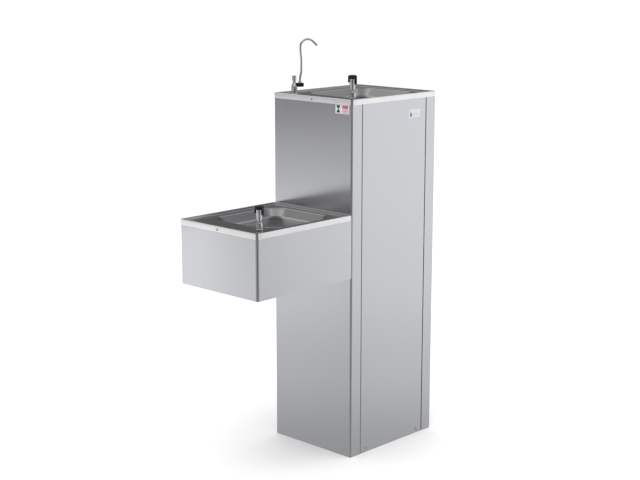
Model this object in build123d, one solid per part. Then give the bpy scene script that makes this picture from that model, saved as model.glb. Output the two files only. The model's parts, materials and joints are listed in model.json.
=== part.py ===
from build123d import *
import math
import os

# Two-level stainless-steel drinking fountain, in millimetres.
# Origin: centre of the column's footprint on the floor. +Z is up, -Y is the front,
# and the low box stands out from the column's left side, towards -X.

# ---- driving dimensions ----
COLUMN_X = 350.0            # column width, left to right
COLUMN_Y = 295.0            # column and low box depth, front to back
LOW_X = 350.0               # how far the low box stands out of the column
RIM_Z = 1000.0              # top of the column's rim
LOW_RIM_Z = 690.0           # top of the low box's rim
LOW_BOTTOM_Z = 514.0        # underside of the low box
SHEET = 1.2                 # stainless sheet
COLUMN_BEND = 5.0           # outside bend radius of the column's casing
LOW_BEND = 6.5              # outside bend radius of the low box's shell

SKIRT_H = 15.0              # turned-down skirt of each top
SCREW_DROP = 9.0            # skirt screws below the rim
SKIRT_OUT = 1.5             # how far a skirt stands proud of the casing
LIP = 7.0                   # width of the raised lip round each top
LIP_STEP = 5.0              # height of the lip above the deck
CORNER_GAP = 5.0            # open corner between two skirts

LEDGE = 75.0                # tap ledge beside each bowl
BOWL_X = 245.0              # bowl opening
BOWL_Y = 225.0
BOWL_CORNER = 42.0          # corner radius of the bowl opening
BOWL_SLOPE = 15.0           # how far the bowl's walls lean in
BOWL_WALL = 25.0            # depth of the bowl's walls
BOWL_FALL = 8.0             # fall of the bowl's floor to its drain
DRAIN_SEAT_R = 30.5         # recess that holds the strainer
DRAIN_SEAT = 2.5
DRAIN_HOLE_R = 24.0

FLANGE_EDGE = 135.0         # inner edge of the casing's front flanges
PANEL_HALF = 133.0          # half width of the front panel
PANEL_RETURN = 13.0         # folded edges of panel and flanges

BUBBLER_FROM_LEFT = 56.0    # bubbler axis from the faces of its casing
BUBBLER_FROM_FRONT = 50.0
FILLER_FROM_LEFT = 38.0
FILLER_FROM_BACK = 42.0
SHANK_R = 6.0               # threaded shank of each tap
SHANK_LENGTH = 45.0
PRESS_TRAVEL = 4.0          # travel of the caps and of the knob
PRESS_GAP = 0.5             # room left over a tap's body when it is pressed

PIPE_R = 16.0               # waste pipe, outside
PIPE_BORE = 14.0
TUBE_R = 4.0                # water tube, outside
TUBE_BORE = 2.75
RUNNING_GAP = 0.05          # radial gap of a sliding or turning fit
CLEAR = 0.2                 # gap between neighbouring sheet parts

LEFT = -COLUMN_X / 2
RIGHT = COLUMN_X / 2
FRONT = -COLUMN_Y / 2
BACK = COLUMN_Y / 2
LOW_LEFT = LEFT - LOW_X
DECK_Z = RIM_Z - LIP_STEP
LOW_DECK_Z = LOW_RIM_Z - LIP_STEP
TRAY_FRONT = FRONT + PANEL_RETURN + 1.3

# places inside the column, (x, y)
STACK = (-110.0, 20.0)
TANK = (60.0, 0.0)
COMPRESSOR = (60.0, -52.0)
FAN = (45.0, 115.0)         # fan axis, (x, z)
SHELF_Z = 240.0
LOW_PIPE_Z = 553.0
BOLT_YS = (-110.0, 110.0)
BOLT_ZS = (540.0, 650.0)
SUPPLY_HOLE = (-85.0, 600.0)    # where the low bubbler's tube leaves the column, (y, z)
RECESS_X = (-165.0, -80.0)      # pan in the back for the water and waste connections
RECESS_Z = (72.0, 195.0)
RECESS_DEPTH = 45.0
OUTLET_Z = 115.0            # waste outlet above the floor
INLET_Z = 165.0             # water inlet above the floor
INLET_R = 8.3               # outside of the inlet's thread
COLLAR_R = 19.0             # collar on the waste outlet
PIPE_HOLE_R = 20.0          # holes for a waste pipe, a water tube, a bolt and a small screw
TUBE_HOLE_R = 7.0
BOLT_HOLE_R = 4.5
SCREW_HOLE_R = 1.6
VENT_HALF = 42.0            # half length of a vent slot
VENT_H = 5.0
LOW_VENTS = ((-8.0, 98.0), range(50, 211, 20))      # slots' x, slots' z
HIGH_VENTS = ((-60.0, 60.0), range(780, 861, 20))
WALL_HOLE_X = 125.0
WALL_HOLE_Z = 930.0
POWER_Z = (291.0, 311.0)    # cut-outs for the mains inlet and its switch
POWER_XS = ((107.0, 133.0), (83.0, 97.0))
PANEL_SCREW_X = 110.0
PANEL_SCREW_Z = 12.0

os.makedirs("parts", exist_ok=True)


def write(name, *solids):
    """Write one node's solids to its own file."""
    shape = solids[0] if len(solids) == 1 else Compound(children=list(solids))
    export_step(shape, f"parts/{name}.step")


def block(xs, ys, zs):
    """Box between two x, two y and two z values."""
    lows, highs = zip(xs, ys, zs)
    size = [high - low for low, high in zip(lows, highs)]
    middle = [(high + low) / 2 for low, high in zip(lows, highs)]
    return Pos(*middle) * Box(*size)


def rod(start, axis, length, radius, bore=0.0):
    """Cylinder or tube from a start point along an axis."""
    plane = Plane(origin=start, z_dir=axis)
    solid = extrude(plane * Circle(radius), length)
    if bore:
        solid -= extrude(plane * Circle(bore), length)
    return solid


def hexagon(start, axis, length, across_flats, bore=0.0):
    """Hexagonal nut or head, with a bore if asked."""
    plane = Plane(origin=start, z_dir=axis)
    solid = extrude(plane * RegularPolygon(across_flats / math.sqrt(3), 6), length)
    if bore:
        solid -= extrude(plane * Circle(bore), length)
    return solid


def turned(outline):
    """Solid of revolution about Z from (radius, z) points."""
    return revolve(make_face(Plane.XZ * Polyline(*outline, close=True)), Axis.Z)


def route(points, radii, radius, bore=0.0):
    """Tube along straight runs joined by tangent arcs."""
    line = FilletPolyline(*points, radius=radii)
    plane = Plane(origin=line @ 0, z_dir=line % 0)
    section = plane * Circle(radius)
    if bore:
        section -= plane * Circle(bore)
    return sweep(section, path=line)


def pan_screw(start, axis, head_r, head_h, shank_r, shank_l):
    """Pan-head screw whose head's underside is at start and whose shank runs along axis."""
    outline = [
        (0, -shank_l), (shank_r, -shank_l), (shank_r, 0), (head_r, 0),
        (head_r, head_h * 0.5), (head_r - head_h * 0.5, head_h), (0, head_h),
    ]
    plane = Plane(origin=start, z_dir=tuple(-Vector(*axis)))
    return plane.location * turned(outline)


def rounded_wall(size_x, size_y, bend, zs, x=0.0):
    """Four-sided sheet wall with bent corners."""
    outer = RectangleRounded(size_x, size_y, bend)
    inner = RectangleRounded(size_x - 2 * SHEET, size_y - 2 * SHEET, bend - SHEET)
    return Pos(x, 0, zs[0]) * extrude(outer - inner, zs[1] - zs[0])


# ---- column casing ----
def wrap_casing():
    """Left side, back, right side and front flanges, folded from one sheet."""
    top = RIM_Z - SHEET - CLEAR
    casing = rounded_wall(COLUMN_X, COLUMN_Y, COLUMN_BEND, (0, top))
    casing -= block((-FLANGE_EDGE, FLANGE_EDGE), (FRONT - 1, FRONT + 3), (-1, RIM_Z))
    lip_z = (0, DECK_Z - SHEET - 1)
    seat_y = FRONT + PANEL_RETURN
    for side in (-1, 1):
        flange_x = sorted((side * FLANGE_EDGE, side * (FLANGE_EDGE + SHEET)))
        casing += block(flange_x, (FRONT, seat_y + SHEET), lip_z)
        seat_x = sorted((side * (PANEL_HALF - 9), side * (FLANGE_EDGE + SHEET)))
        casing += block(seat_x, (seat_y, seat_y + SHEET), lip_z)
    wall = (BACK - 5, BACK + 5)
    for slot_xs, slot_zs in (LOW_VENTS, HIGH_VENTS):
        for slot_x in slot_xs:
            for slot_z in slot_zs:
                slot_ends = (slot_x - VENT_HALF, slot_x + VENT_HALF)
                casing -= block(slot_ends, wall, (slot_z, slot_z + VENT_H))
    casing -= block(RECESS_X, wall, RECESS_Z)
    for low_x, high_x in POWER_XS:
        casing -= block((low_x - 1, high_x + 1), wall, (POWER_Z[0] - 1, POWER_Z[1] + 1))
    for side in (-1, 1):
        casing -= rod((side * WALL_HOLE_X, BACK - 5, WALL_HOLE_Z), (0, 1, 0), 10, BOLT_HOLE_R)
    side_start = LEFT - 5
    for bolt_y in BOLT_YS:
        for bolt_z in BOLT_ZS:
            casing -= rod((side_start, bolt_y, bolt_z), (1, 0, 0), 10, BOLT_HOLE_R)
    casing -= rod((side_start, STACK[1], LOW_PIPE_Z), (1, 0, 0), 10, PIPE_HOLE_R)
    casing -= rod((side_start, *SUPPLY_HOLE), (1, 0, 0), 10, TUBE_HOLE_R)
    screw_z = RIM_Z - SCREW_DROP
    casing -= rod((side_start, 0, screw_z), (1, 0, 0), COLUMN_X + 10, SCREW_HOLE_R)
    return casing


def front_panel():
    """Flat service panel with folded side and bottom edges."""
    depth = (FRONT, FRONT + PANEL_RETURN - 0.5)
    panel = block((-PANEL_HALF, PANEL_HALF), depth, (1, RIM_Z - SKIRT_H + 3))
    front_edges = panel.edges().filter_by(Axis.Z).group_by(Axis.Y)[0]
    panel = fillet(front_edges, 2)
    inside = PANEL_HALF - SHEET
    panel -= block((-inside, inside), (FRONT + SHEET, 0), (1 + SHEET, RIM_Z))
    for side in (-1, 1):
        panel -= rod((side * PANEL_SCREW_X, FRONT - 5, PANEL_SCREW_Z), (0, 1, 0), 10, 2.2)
    return panel


def front_panel_screws():
    """Two screws through the panel's foot into the base tray."""
    places = [(side * PANEL_SCREW_X, FRONT, PANEL_SCREW_Z) for side in (-1, 1)]
    return [pan_screw(place, (0, 1, 0), 4, 2.2, 2, 18) for place in places]


def base_tray():
    """Floor of the column with an upturned edge and four holes for floor anchors."""
    xs = (LEFT + SHEET + CLEAR, RIGHT - SHEET - CLEAR)
    ys = (TRAY_FRONT, BACK - SHEET - CLEAR)
    tray = block(xs, ys, (0, 25))
    tray = fillet(tray.edges().filter_by(Axis.Z).group_by(Axis.Y)[-1], COLUMN_BEND - SHEET)
    inner = block((xs[0] + 1.5, xs[1] - 1.5), (ys[0] + 1.5, ys[1] - 1.5), (1.5, 30))
    inner = fillet(inner.edges().filter_by(Axis.Z).group_by(Axis.Y)[-1], 2.5)
    tray -= inner
    for hole_x in (-150, 150):
        for hole_y in (-105, 105):
            tray -= rod((hole_x, hole_y, -1), (0, 0, 1), 5, 5)
    for side in (-1, 1):
        tray -= rod((side * PANEL_SCREW_X, TRAY_FRONT - 1, PANEL_SCREW_Z), (0, 1, 0), 4, 2.05)
    for foot_x, foot_y in grommet_places():
        tray -= rod((foot_x, foot_y, -1), (0, 0, 1), 5, 3)
    return tray


def chiller_shelf():
    """Shelf that carries the cold tank, with openings for the pipes."""
    xs = (LEFT + SHEET + CLEAR, RIGHT - SHEET - CLEAR)
    ys = (TRAY_FRONT, BACK - SHEET - CLEAR)
    shelf = block(xs, ys, (SHELF_Z - 20, SHELF_Z))
    shelf = fillet(shelf.edges().filter_by(Axis.Z).group_by(Axis.Y)[-1], COLUMN_BEND - SHEET)
    shelf -= block((xs[0] + 1.5, xs[1] - 1.5), (ys[0] + 1.5, ys[1] - 1.5), (SHELF_Z - 21, SHELF_Z - 1.5))
    holes = ((*STACK, 21), (-60, 40, 8), (126, 75, 8), (158, -75, 6))
    for hole_x, hole_y, radius in holes:
        shelf -= rod((hole_x, hole_y, SHELF_Z - 5), (0, 0, 1), 10, radius)
    return shelf


def service_recess():
    """Pan set into the back, where the water and waste connections are reached."""
    xs = (RECESS_X[0] + SHEET, RECESS_X[1] - SHEET)
    zs = (RECESS_Z[0] + SHEET, RECESS_Z[1] - SHEET)
    floor_y = BACK - RECESS_DEPTH
    pan = block(RECESS_X, (floor_y, BACK), RECESS_Z)
    pan -= block(xs, (floor_y + SHEET, BACK + 1), zs)
    pan -= rod((STACK[0], floor_y - 2, OUTLET_Z), (0, 1, 0), 5, COLLAR_R + 0.5)
    pan -= rod((STACK[0], floor_y - 2, INLET_Z), (0, 1, 0), 5, INLET_R + 0.3)
    return pan


# ---- tops with their bowls ----
def bowl_solid(base_z, left, grow, above):
    """Solid that fills a bowl; grow thickens it on every side."""
    centre_x = left + LEDGE + BOWL_X / 2
    wall_x = BOWL_X - 2 * BOWL_SLOPE
    wall_y = BOWL_Y - 2 * BOWL_SLOPE
    seat = DRAIN_SEAT_R + grow
    top_z = base_z + above
    wall_z = base_z - BOWL_WALL - grow
    floor_z = wall_z - BOWL_FALL
    lean = BOWL_SLOPE / BOWL_WALL * above
    top = RectangleRounded(BOWL_X + 2 * (grow + lean), BOWL_Y + 2 * (grow + lean), BOWL_CORNER + grow)
    wall = RectangleRounded(wall_x + 2 * grow, wall_y + 2 * grow, BOWL_CORNER - 10 + grow)
    drain = RectangleRounded(2 * seat, 2 * seat, seat - 0.5)
    sides = loft([Pos(centre_x, 0, top_z) * top, Pos(centre_x, 0, wall_z) * wall], ruled=True)
    floor = loft([Pos(centre_x, 0, wall_z) * wall, Pos(centre_x, 0, floor_z) * drain], ruled=True)
    recess = rod((centre_x, 0, floor_z + 0.5), (0, 0, -1), DRAIN_SEAT + 0.5, seat - 0.6)
    return sides + floor + recess


def deck(rim_z, left, right, has_filler):
    """One top: lip, skirt, ledge and bowl in a single pressing."""
    ys = (FRONT - SKIRT_OUT, BACK + SKIRT_OUT)
    deck_z = rim_z - LIP_STEP
    top = block((left - SKIRT_OUT, right), ys, (rim_z - SKIRT_H, rim_z))
    top = fillet(top.edges().group_by(Axis.Z)[-1], 1.5)
    inside_x = (left - SKIRT_OUT + SHEET, right - SHEET)
    inside_y = (ys[0] + SHEET, ys[1] - SHEET)
    top -= block(inside_x, inside_y, (rim_z - SKIRT_H - 1, rim_z - SHEET))
    pan_x = (left - SKIRT_OUT + LIP, right - LIP)
    pan_y = (ys[0] + LIP, ys[1] - LIP)
    outer_x = (pan_x[0] - SHEET, pan_x[1] + SHEET)
    outer_y = (pan_y[0] - SHEET, pan_y[1] + SHEET)
    top += block(outer_x, outer_y, (deck_z - SHEET, rim_z - 0.5))
    top -= block(pan_x, pan_y, (deck_z, rim_z + 1))
    top += bowl_solid(deck_z, left, SHEET, -0.2)
    top -= bowl_solid(deck_z, left, 0, 0.5)
    drain_x = left + LEDGE + BOWL_X / 2
    top -= rod((drain_x, 0, rim_z), (0, 0, -1), 80, DRAIN_HOLE_R)
    taps = [(left + BUBBLER_FROM_LEFT, FRONT + BUBBLER_FROM_FRONT)]
    if has_filler:
        taps.append((left + FILLER_FROM_LEFT, BACK - FILLER_FROM_BACK))
    for tap_x, tap_y in taps:
        top -= rod((tap_x, tap_y, rim_z), (0, 0, -1), 20, SHANK_R + 0.3)
    gap_z = (rim_z - SKIRT_H - 1, rim_z - SHEET)
    gap_xs = ((left - SKIRT_OUT - 1, left - SKIRT_OUT + CORNER_GAP), (right - CORNER_GAP, right + 1))
    gap_ys = ((ys[0] - 1, ys[0] + CORNER_GAP), (ys[1] - CORNER_GAP, ys[1] + 1))
    for gap_x in gap_xs:
        for gap_y in gap_ys:
            top -= block(gap_x, gap_y, gap_z)
    screw_z = rim_z - SCREW_DROP
    top -= rod((left - SKIRT_OUT - 1, 0, screw_z), (1, 0, 0), 4, 1.7)
    if has_filler:
        top -= rod((right - 3, 0, screw_z), (1, 0, 0), 5, 1.7)
    return top


def deck_screws():
    """Small screws that hold the skirts to the casings."""
    screws = []
    for face_x, rim_z in ((LEFT, RIM_Z), (LOW_LEFT, LOW_RIM_Z)):
        start = (face_x - SKIRT_OUT, 0, rim_z - SCREW_DROP)
        screws.append(pan_screw(start, (1, 0, 0), 3, 1.4, 1.5, 7))
    start = (RIGHT + SKIRT_OUT, 0, RIM_Z - SCREW_DROP)
    screws.append(pan_screw(start, (-1, 0, 0), 3, 1.4, 1.5, 7))
    return screws


# ---- low box ----
def low_box_shell():
    """Front, left side and back of the low box, with narrow folds at foot and column."""
    zs = (LOW_BOTTOM_Z, LOW_RIM_Z - SHEET - CLEAR)
    extra = 20.0
    shell = rounded_wall(LOW_X + extra, COLUMN_Y, LOW_BEND, zs, LOW_LEFT + (LOW_X + extra) / 2)
    shell -= block((LEFT - CLEAR, LEFT + 30), (FRONT - 1, BACK + 1), (zs[0] - 1, zs[1] + 1))
    fold_x = (LEFT - CLEAR - SHEET, LEFT - CLEAR)
    inner_y = BACK - SHEET
    for side in (-1, 1):
        fold_y = sorted((side * inner_y, side * (inner_y - 15)))
        shell += block(fold_x, fold_y, (zs[0] + 5, LOW_RIM_Z - SKIRT_H - 2))
    foot_x = (LOW_LEFT + SHEET, LEFT - CLEAR - SHEET - 1)
    foot = block(foot_x, (-inner_y, inner_y), (zs[0] + 1.5, zs[0] + 1.5 + SHEET))
    foot = fillet(foot.edges().filter_by(Axis.Z).group_by(Axis.X)[0], LOW_BEND - SHEET)
    foot -= block((foot_x[0] + 16, LEFT), (16 - inner_y, inner_y - 16), (zs[0], zs[0] + 5))
    shell += foot
    for screw_x, screw_y in floor_screw_places():
        shell -= rod((screw_x, screw_y, zs[0]), (0, 0, 1), 5, SCREW_HOLE_R)
    shell -= rod((LOW_LEFT - 1, 0, LOW_RIM_Z - SCREW_DROP), (1, 0, 0), 4, SCREW_HOLE_R)
    return shell


def floor_screw_places():
    """Places of the four screws in the low box's floor."""
    return [(x, y) for x in (LOW_LEFT + 40, LEFT - 40) for y in (FRONT + 10, BACK - 10)]


def low_box_floor():
    """Plate that closes the low box from below."""
    xs = (LOW_LEFT + SHEET + CLEAR, LEFT - CLEAR - SHEET - 1)
    ys = (FRONT + SHEET + CLEAR, BACK - SHEET - CLEAR)
    floor = block(xs, ys, (LOW_BOTTOM_Z, LOW_BOTTOM_Z + SHEET))
    floor = fillet(floor.edges().filter_by(Axis.Z).group_by(Axis.X)[0], LOW_BEND - SHEET)
    for screw_x, screw_y in floor_screw_places():
        floor -= rod((screw_x, screw_y, LOW_BOTTOM_Z - 1), (0, 0, 1), 5, 1.7)
    return floor


def low_box_floor_screws():
    """Four screws up into the low box's folded foot."""
    places = floor_screw_places()
    return [pan_screw((x, y, LOW_BOTTOM_Z), (0, 0, 1), 3, 1.6, 1.5, 6) for x, y in places]


def fixing_plate(start_x, thickness, half_y, zs):
    """Plate with holes for the four box bolts, the waste pipe and the water tube."""
    plate = block((start_x, start_x + thickness), (-half_y, half_y), zs)
    for bolt_y in BOLT_YS:
        for bolt_z in BOLT_ZS:
            plate -= rod((start_x - 1, bolt_y, bolt_z), (1, 0, 0), thickness + 2, 4.3)
    plate -= rod((start_x - 1, STACK[1], LOW_PIPE_Z), (1, 0, 0), thickness + 2, PIPE_HOLE_R)
    plate -= rod((start_x - 1, *SUPPLY_HOLE), (1, 0, 0), thickness + 2, TUBE_HOLE_R)
    return plate


def low_box_bolts(plate_x, backing_x):
    """Four bolts from inside the column through both plates, with their nuts."""
    solids = []
    for bolt_y in BOLT_YS:
        for bolt_z in BOLT_ZS:
            head = hexagon((backing_x, bolt_y, bolt_z), (1, 0, 0), 5.3, 13)
            length = backing_x - plate_x + 8
            solids.append(head + rod((backing_x, bolt_y, bolt_z), (-1, 0, 0), length, 4))
            solids.append(hexagon((plate_x, bolt_y, bolt_z), (-1, 0, 0), 6.5, 13, 4.05))
    return solids


# ---- bubblers ----
FLANGE_R = 11.0             # foot flange of every tap
FLANGE_H = 2.2
BUBBLER_FLANK = ((9.5, FLANGE_H), (9.4, 6), (8.2, 15), (6.4, 21), (7.6, 25), (7.9, 34), (8.6, 44))
HEAD_R = 8.6
HEAD_Z = 55.0
CAP_R = 12.3
CAP_LOW_Z = 54.0
CAP_TOP_Z = 63.0
CAP_ROOF_Z = HEAD_Z + PRESS_TRAVEL + PRESS_GAP
CAP_BEND = 4.0              # rounding of the cap's top edge
HOOD_INNER_R = 11.0
HOOD_LOW_Z = 40.0
HOOD_TURN = 36.0            # the hood and the jet face the bowl, degrees from +X
JET_Z = 31.0
JET_R = 1.5
POCKET_R = 7.0
POCKET_Z = 42.0
STEM_R = 2.5


def bubbler_body():
    """Waisted chrome body with flange, shank, spring pocket and jet hole."""
    edges = [
        Polyline((0, 0), (FLANGE_R, 0), (FLANGE_R, FLANGE_H), BUBBLER_FLANK[0]),
        Spline(*BUBBLER_FLANK),
        Polyline(BUBBLER_FLANK[-1], (HEAD_R, HEAD_Z - 1), (HEAD_R - 1, HEAD_Z), (0, HEAD_Z), (0, 0)),
    ]
    body = revolve(make_face(Plane.XZ * Curve(edges)), Axis.Z)
    body += rod((0, 0, 0.5), (0, 0, -1), SHANK_LENGTH + 0.5, SHANK_R)
    body -= rod((0, 0, POCKET_Z), (0, 0, 1), 20, POCKET_R)
    body -= rod((0, 0, -SHANK_LENGTH - 1), (0, 0, 1), 100, STEM_R + RUNNING_GAP)
    body -= rod((0, 0, JET_Z), (1, 0, 0.35), 20, JET_R)
    return body


def bubbler_cap():
    """Black push cap with a hood over the jet, on the bowl's side."""
    cap = rod((0, 0, CAP_LOW_Z), (0, 0, 1), CAP_TOP_Z - CAP_LOW_Z, CAP_R)
    cap = fillet(cap.edges().group_by(Axis.Z)[-1], CAP_BEND)
    cap -= rod((0, 0, CAP_LOW_Z - 1), (0, 0, 1), CAP_ROOF_Z - CAP_LOW_Z + 1, HEAD_R + 0.15)
    hood = rod((0, 0, HOOD_LOW_Z), (0, 0, 1), CAP_LOW_Z - HOOD_LOW_Z + 1, CAP_R, HOOD_INNER_R)
    return cap + (hood & block((-1, 20), (-20, 20), (HOOD_LOW_Z, CAP_LOW_Z + 1)))


def coil_spring(coil_r, wire_r, zs, turns):
    """Helical spring between two z values."""
    height = zs[1] - zs[0] - 2 * wire_r
    path = Helix(pitch=height / turns, height=height, radius=coil_r)
    wire = sweep(Plane(origin=path @ 0, z_dir=path % 0) * Circle(wire_r), path=path, is_frenet=True)
    return Pos(0, 0, zs[0] + wire_r) * wire


def bubbler_parts(prefix, place):
    """Write one bubbler standing at a place on a deck."""
    at = Pos(*place) * Rot(0, 0, HOOD_TURN)
    write(f"{prefix}_bubbler_body", at * bubbler_body())
    write(f"{prefix}_bubbler_cap", at * bubbler_cap())
    write(f"{prefix}_bubbler_stem", at * rod((0, 0, 5), (0, 0, 1), CAP_ROOF_Z - 5, STEM_R))
    write(f"{prefix}_bubbler_spring", at * coil_spring(4.8, 0.45, (POCKET_Z + 0.1, CAP_ROOF_Z - 0.1), 6))


# ---- bottle filler ----
ARM_ANGLE = -34.0           # the arm points over the bowl, degrees from +X
ARM_Z = 25.0
ARM_R = 5.8
ARM_REACH = 26.5
SPOUT_OUT = 16.0            # spout's axis from the body's axis
SPOUT_R = 3.0
SPOUT_ARCH_R = 20.4
SPOUT_TOP_Z = 150.8
FILLER_BODY_R = 8.5
SHOULDER_Z = (20.0, 31.0)   # where the body tapers to its neck
NECK_R = 4.4
NECK_Z = 43.5
KNOB_R = 6.0
KNOB_INNER_R = 4.8
KNOB_LOW_Z = 37.0
KNOB_TOP_Z = 51.0
KNOB_ROOF_Z = NECK_Z + PRESS_TRAVEL + PRESS_GAP
KNOB_POCKET_R = 3.7
KNOB_POCKET_Z = 31.4
KNOB_STEM_R = 1.8


def filler_body():
    """Tapered body with a short horizontal arm that holds the spout."""
    outline = [
        (0, 0), (FLANGE_R, 0), (FLANGE_R, FLANGE_H), (FILLER_BODY_R, FLANGE_H),
        (FILLER_BODY_R, SHOULDER_Z[0]), (NECK_R, SHOULDER_Z[1]), (NECK_R, NECK_Z), (0, NECK_Z),
    ]
    body = turned(outline)
    arm = rod((0, 0, ARM_Z), (1, 0, 0), ARM_REACH, ARM_R)
    arm = fillet(arm.edges().group_by(Axis.X)[-1], 1.2)
    body += arm
    body += rod((0, 0, 0.5), (0, 0, -1), SHANK_LENGTH + 0.5, SHANK_R)
    body -= rod((SPOUT_OUT, 0, ARM_Z + ARM_R - 0.6), (0, 0, 1), 3, 5.4)
    body -= rod((SPOUT_OUT, 0, ARM_Z - 2.5), (0, 0, 1), 20, SPOUT_R + RUNNING_GAP)
    body -= rod((0, 0, KNOB_POCKET_Z), (0, 0, 1), 20, KNOB_POCKET_R)
    body -= rod((0, 0, -SHANK_LENGTH - 1), (0, 0, 1), 100, KNOB_STEM_R + RUNNING_GAP)
    return body


def filler_knob():
    """Push knob that slides over the neck."""
    knob = rod((0, 0, KNOB_LOW_Z), (0, 0, 1), KNOB_TOP_Z - KNOB_LOW_Z, KNOB_R)
    knob = fillet(knob.edges().group_by(Axis.Z)[-1], 1.5)
    knob -= rod((0, 0, KNOB_LOW_Z - 1), (0, 0, 1), KNOB_ROOF_Z - KNOB_LOW_Z + 1, KNOB_INNER_R)
    return knob


def filler_spout():
    """Swan-neck tube, rising with a slight lean and arching over the bowl."""
    arch_end = 31.0
    tip_drop = 17.6
    points = [
        (0, 0, ARM_Z - 2), (0, 0, 42), (4.4, 0, 62), (4.4, 0, 96), (2.0, 0, 118), (2.0, 0, SPOUT_TOP_Z),
        (arch_end, 0, SPOUT_TOP_Z), (arch_end + tip_drop, 0, SPOUT_TOP_Z - tip_drop),
    ]
    radii = [60, 60, 140, 140, SPOUT_ARCH_R, SPOUT_ARCH_R]
    return Pos(SPOUT_OUT, 0, 0) * route(points, radii, SPOUT_R, SPOUT_R - 0.8)


def filler_parts(place):
    """Write the bottle filler."""
    at = Pos(*place) * Rot(0, 0, ARM_ANGLE)
    write("filler_body", at * filler_body())
    write("filler_knob", at * filler_knob())
    write("filler_stem", at * rod((0, 0, 8), (0, 0, 1), KNOB_ROOF_Z - 8, KNOB_STEM_R))
    write("filler_spring", at * coil_spring(3.0, 0.3, (KNOB_POCKET_Z + 0.1, KNOB_ROOF_Z - 0.1), 7))
    write("filler_spout", at * filler_spout())
    collar_z = ARM_Z + ARM_R - 0.6
    write("filler_collar", at * rod((SPOUT_OUT, 0, collar_z), (0, 0, 1), 5.5, 5.0, SPOUT_R + 0.1))


def tap_seals_and_nuts(places, washer):
    """Washer under each tap's flange, on the deck, and nut under the deck."""
    nuts = []
    for x, y, z in places:
        nuts.append(hexagon((x, y, z - SHEET - 0.1), (0, 0, -1), 6, 19, SHANK_R + 0.05))
    washers = []
    for x, y, z in places:
        washers.append(rod((x, y, z), (0, 0, 1), washer, FLANGE_R + 0.4, SHANK_R + 0.05))
    write("tap_locknuts", *nuts)
    write("tap_gaskets", *washers)


# ---- waste ----
FITTING_LENGTH = 53.0


def drain_point(left, deck_z):
    """Centre of a bowl's drain recess, on the top of its sheet."""
    return (left + LEDGE + BOWL_X / 2, 0, deck_z - BOWL_WALL - BOWL_FALL - DRAIN_SEAT)


def strainer(point):
    """Perforated strainer disc in the drain recess."""
    x, y, z = point
    disc = rod((x, y, z + 0.05), (0, 0, 1), 1.5, DRAIN_SEAT_R - 1)
    for ring_r, count in ((8, 6), (15, 12), (22, 18)):
        for index in range(count):
            angle = 2 * math.pi * index / count
            hole = (x + ring_r * math.cos(angle), y + ring_r * math.sin(angle), z - 1)
            disc -= rod(hole, (0, 0, 1), 5, 1.8)
    return disc


def waste_fitting(point):
    """Flanged fitting clamped under a bowl, with a tail for the pipe."""
    x, y, z = point
    top = z - SHEET - 0.1
    fitting = rod((x, y, top), (0, 0, -1), 3, 28)
    fitting += rod((x, y, top), (0, 0, -1), 18, 20)
    fitting += rod((x, y, top), (0, 0, -1), FITTING_LENGTH, PIPE_R)
    fitting -= rod((x, y, top + 1), (0, 0, -1), FITTING_LENGTH + 2, PIPE_BORE)
    return fitting


def waste_nut(point):
    """Clamping nut on a waste fitting's neck."""
    x, y, z = point
    return hexagon((x, y, z - SHEET - 3.2), (0, 0, -1), 12, 50, 20.05)


def waste_pipes(upper, low):
    """Waste pipes from both bowls to the tee, and the trap below it."""
    drop = SHEET + 0.1 + FITTING_LENGTH
    x, y, z = upper
    upper_points = [(x, y, z - drop), (x, y, 856), (*STACK, 812), (*STACK, 575)]
    write("upper_waste_pipe", route(upper_points, [40, 40], PIPE_R, PIPE_BORE))
    x, y, z = low
    low_points = [
        (x, y, z - drop), (x, y, LOW_PIPE_Z + 4), (x + 95, STACK[1], LOW_PIPE_Z),
        (STACK[0] - 18, STACK[1], LOW_PIPE_Z),
    ]
    write("low_waste_pipe", route(low_points, [26, 60], PIPE_R, PIPE_BORE))
    tee = rod((*STACK, 515), (0, 0, 1), 77, PIPE_R + 3.5)
    tee += rod((*STACK, LOW_PIPE_Z), (-1, 0, 0), 34, PIPE_R + 3.5)
    tee -= rod((*STACK, 514), (0, 0, 1), 80, PIPE_BORE)
    tee -= rod((*STACK, LOW_PIPE_Z), (-1, 0, 0), 40, PIPE_BORE)
    tee -= rod((*STACK, 514), (0, 0, 1), 19, PIPE_R + 0.1)
    tee -= rod((*STACK, 574), (0, 0, 1), 20, PIPE_R + 0.1)
    tee -= rod((STACK[0] - 17.5, STACK[1], LOW_PIPE_Z), (-1, 0, 0), 20, PIPE_R + 0.1)
    write("waste_tee", tee)
    x, y = STACK
    trap_points = [(x, y, 532), (x, y, 60), (x, y + 50, 60), (x, y + 50, OUTLET_Z), (x, BACK - 3, OUTLET_Z)]
    trap = route(trap_points, [24.5, 24.5, 24.5], PIPE_R, PIPE_BORE)
    trap += rod((x, BACK - RECESS_DEPTH - 4, OUTLET_Z), (0, 1, 0), 9, COLLAR_R, PIPE_BORE)
    write("waste_trap", trap)


# ---- refrigeration ----
def grommet_places():
    """Centres of the compressor's four rubber mounts."""
    x, y = COMPRESSOR
    return [(x + dx, y + dy) for dx in (-50, 50) for dy in (-48, 48)]


def compressor():
    """Hermetic compressor: domed shell round its motor space, foot plate and two tube stubs."""
    x, y = COMPRESSOR
    shell = rod((x, y, 8), (0, 0, 1), 160, 60)
    shell = fillet(shell.edges().filter_by(GeomType.CIRCLE), 26)
    plate = block((x - 62, x + 62), (y - 60, y + 60), (15.5, 18.5))
    for foot_x, foot_y in grommet_places():
        plate -= rod((foot_x, foot_y, 10), (0, 0, 1), 20, 6)
    shell += plate
    for stub_x, stub_y in ((x + 35, y), (x, y - 38)):
        shell += rod((stub_x, stub_y, 150), (0, 0, 1), 30, 4)
    return shell - rod((x, y, 23), (0, 0, 1), 130, 40)


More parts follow.
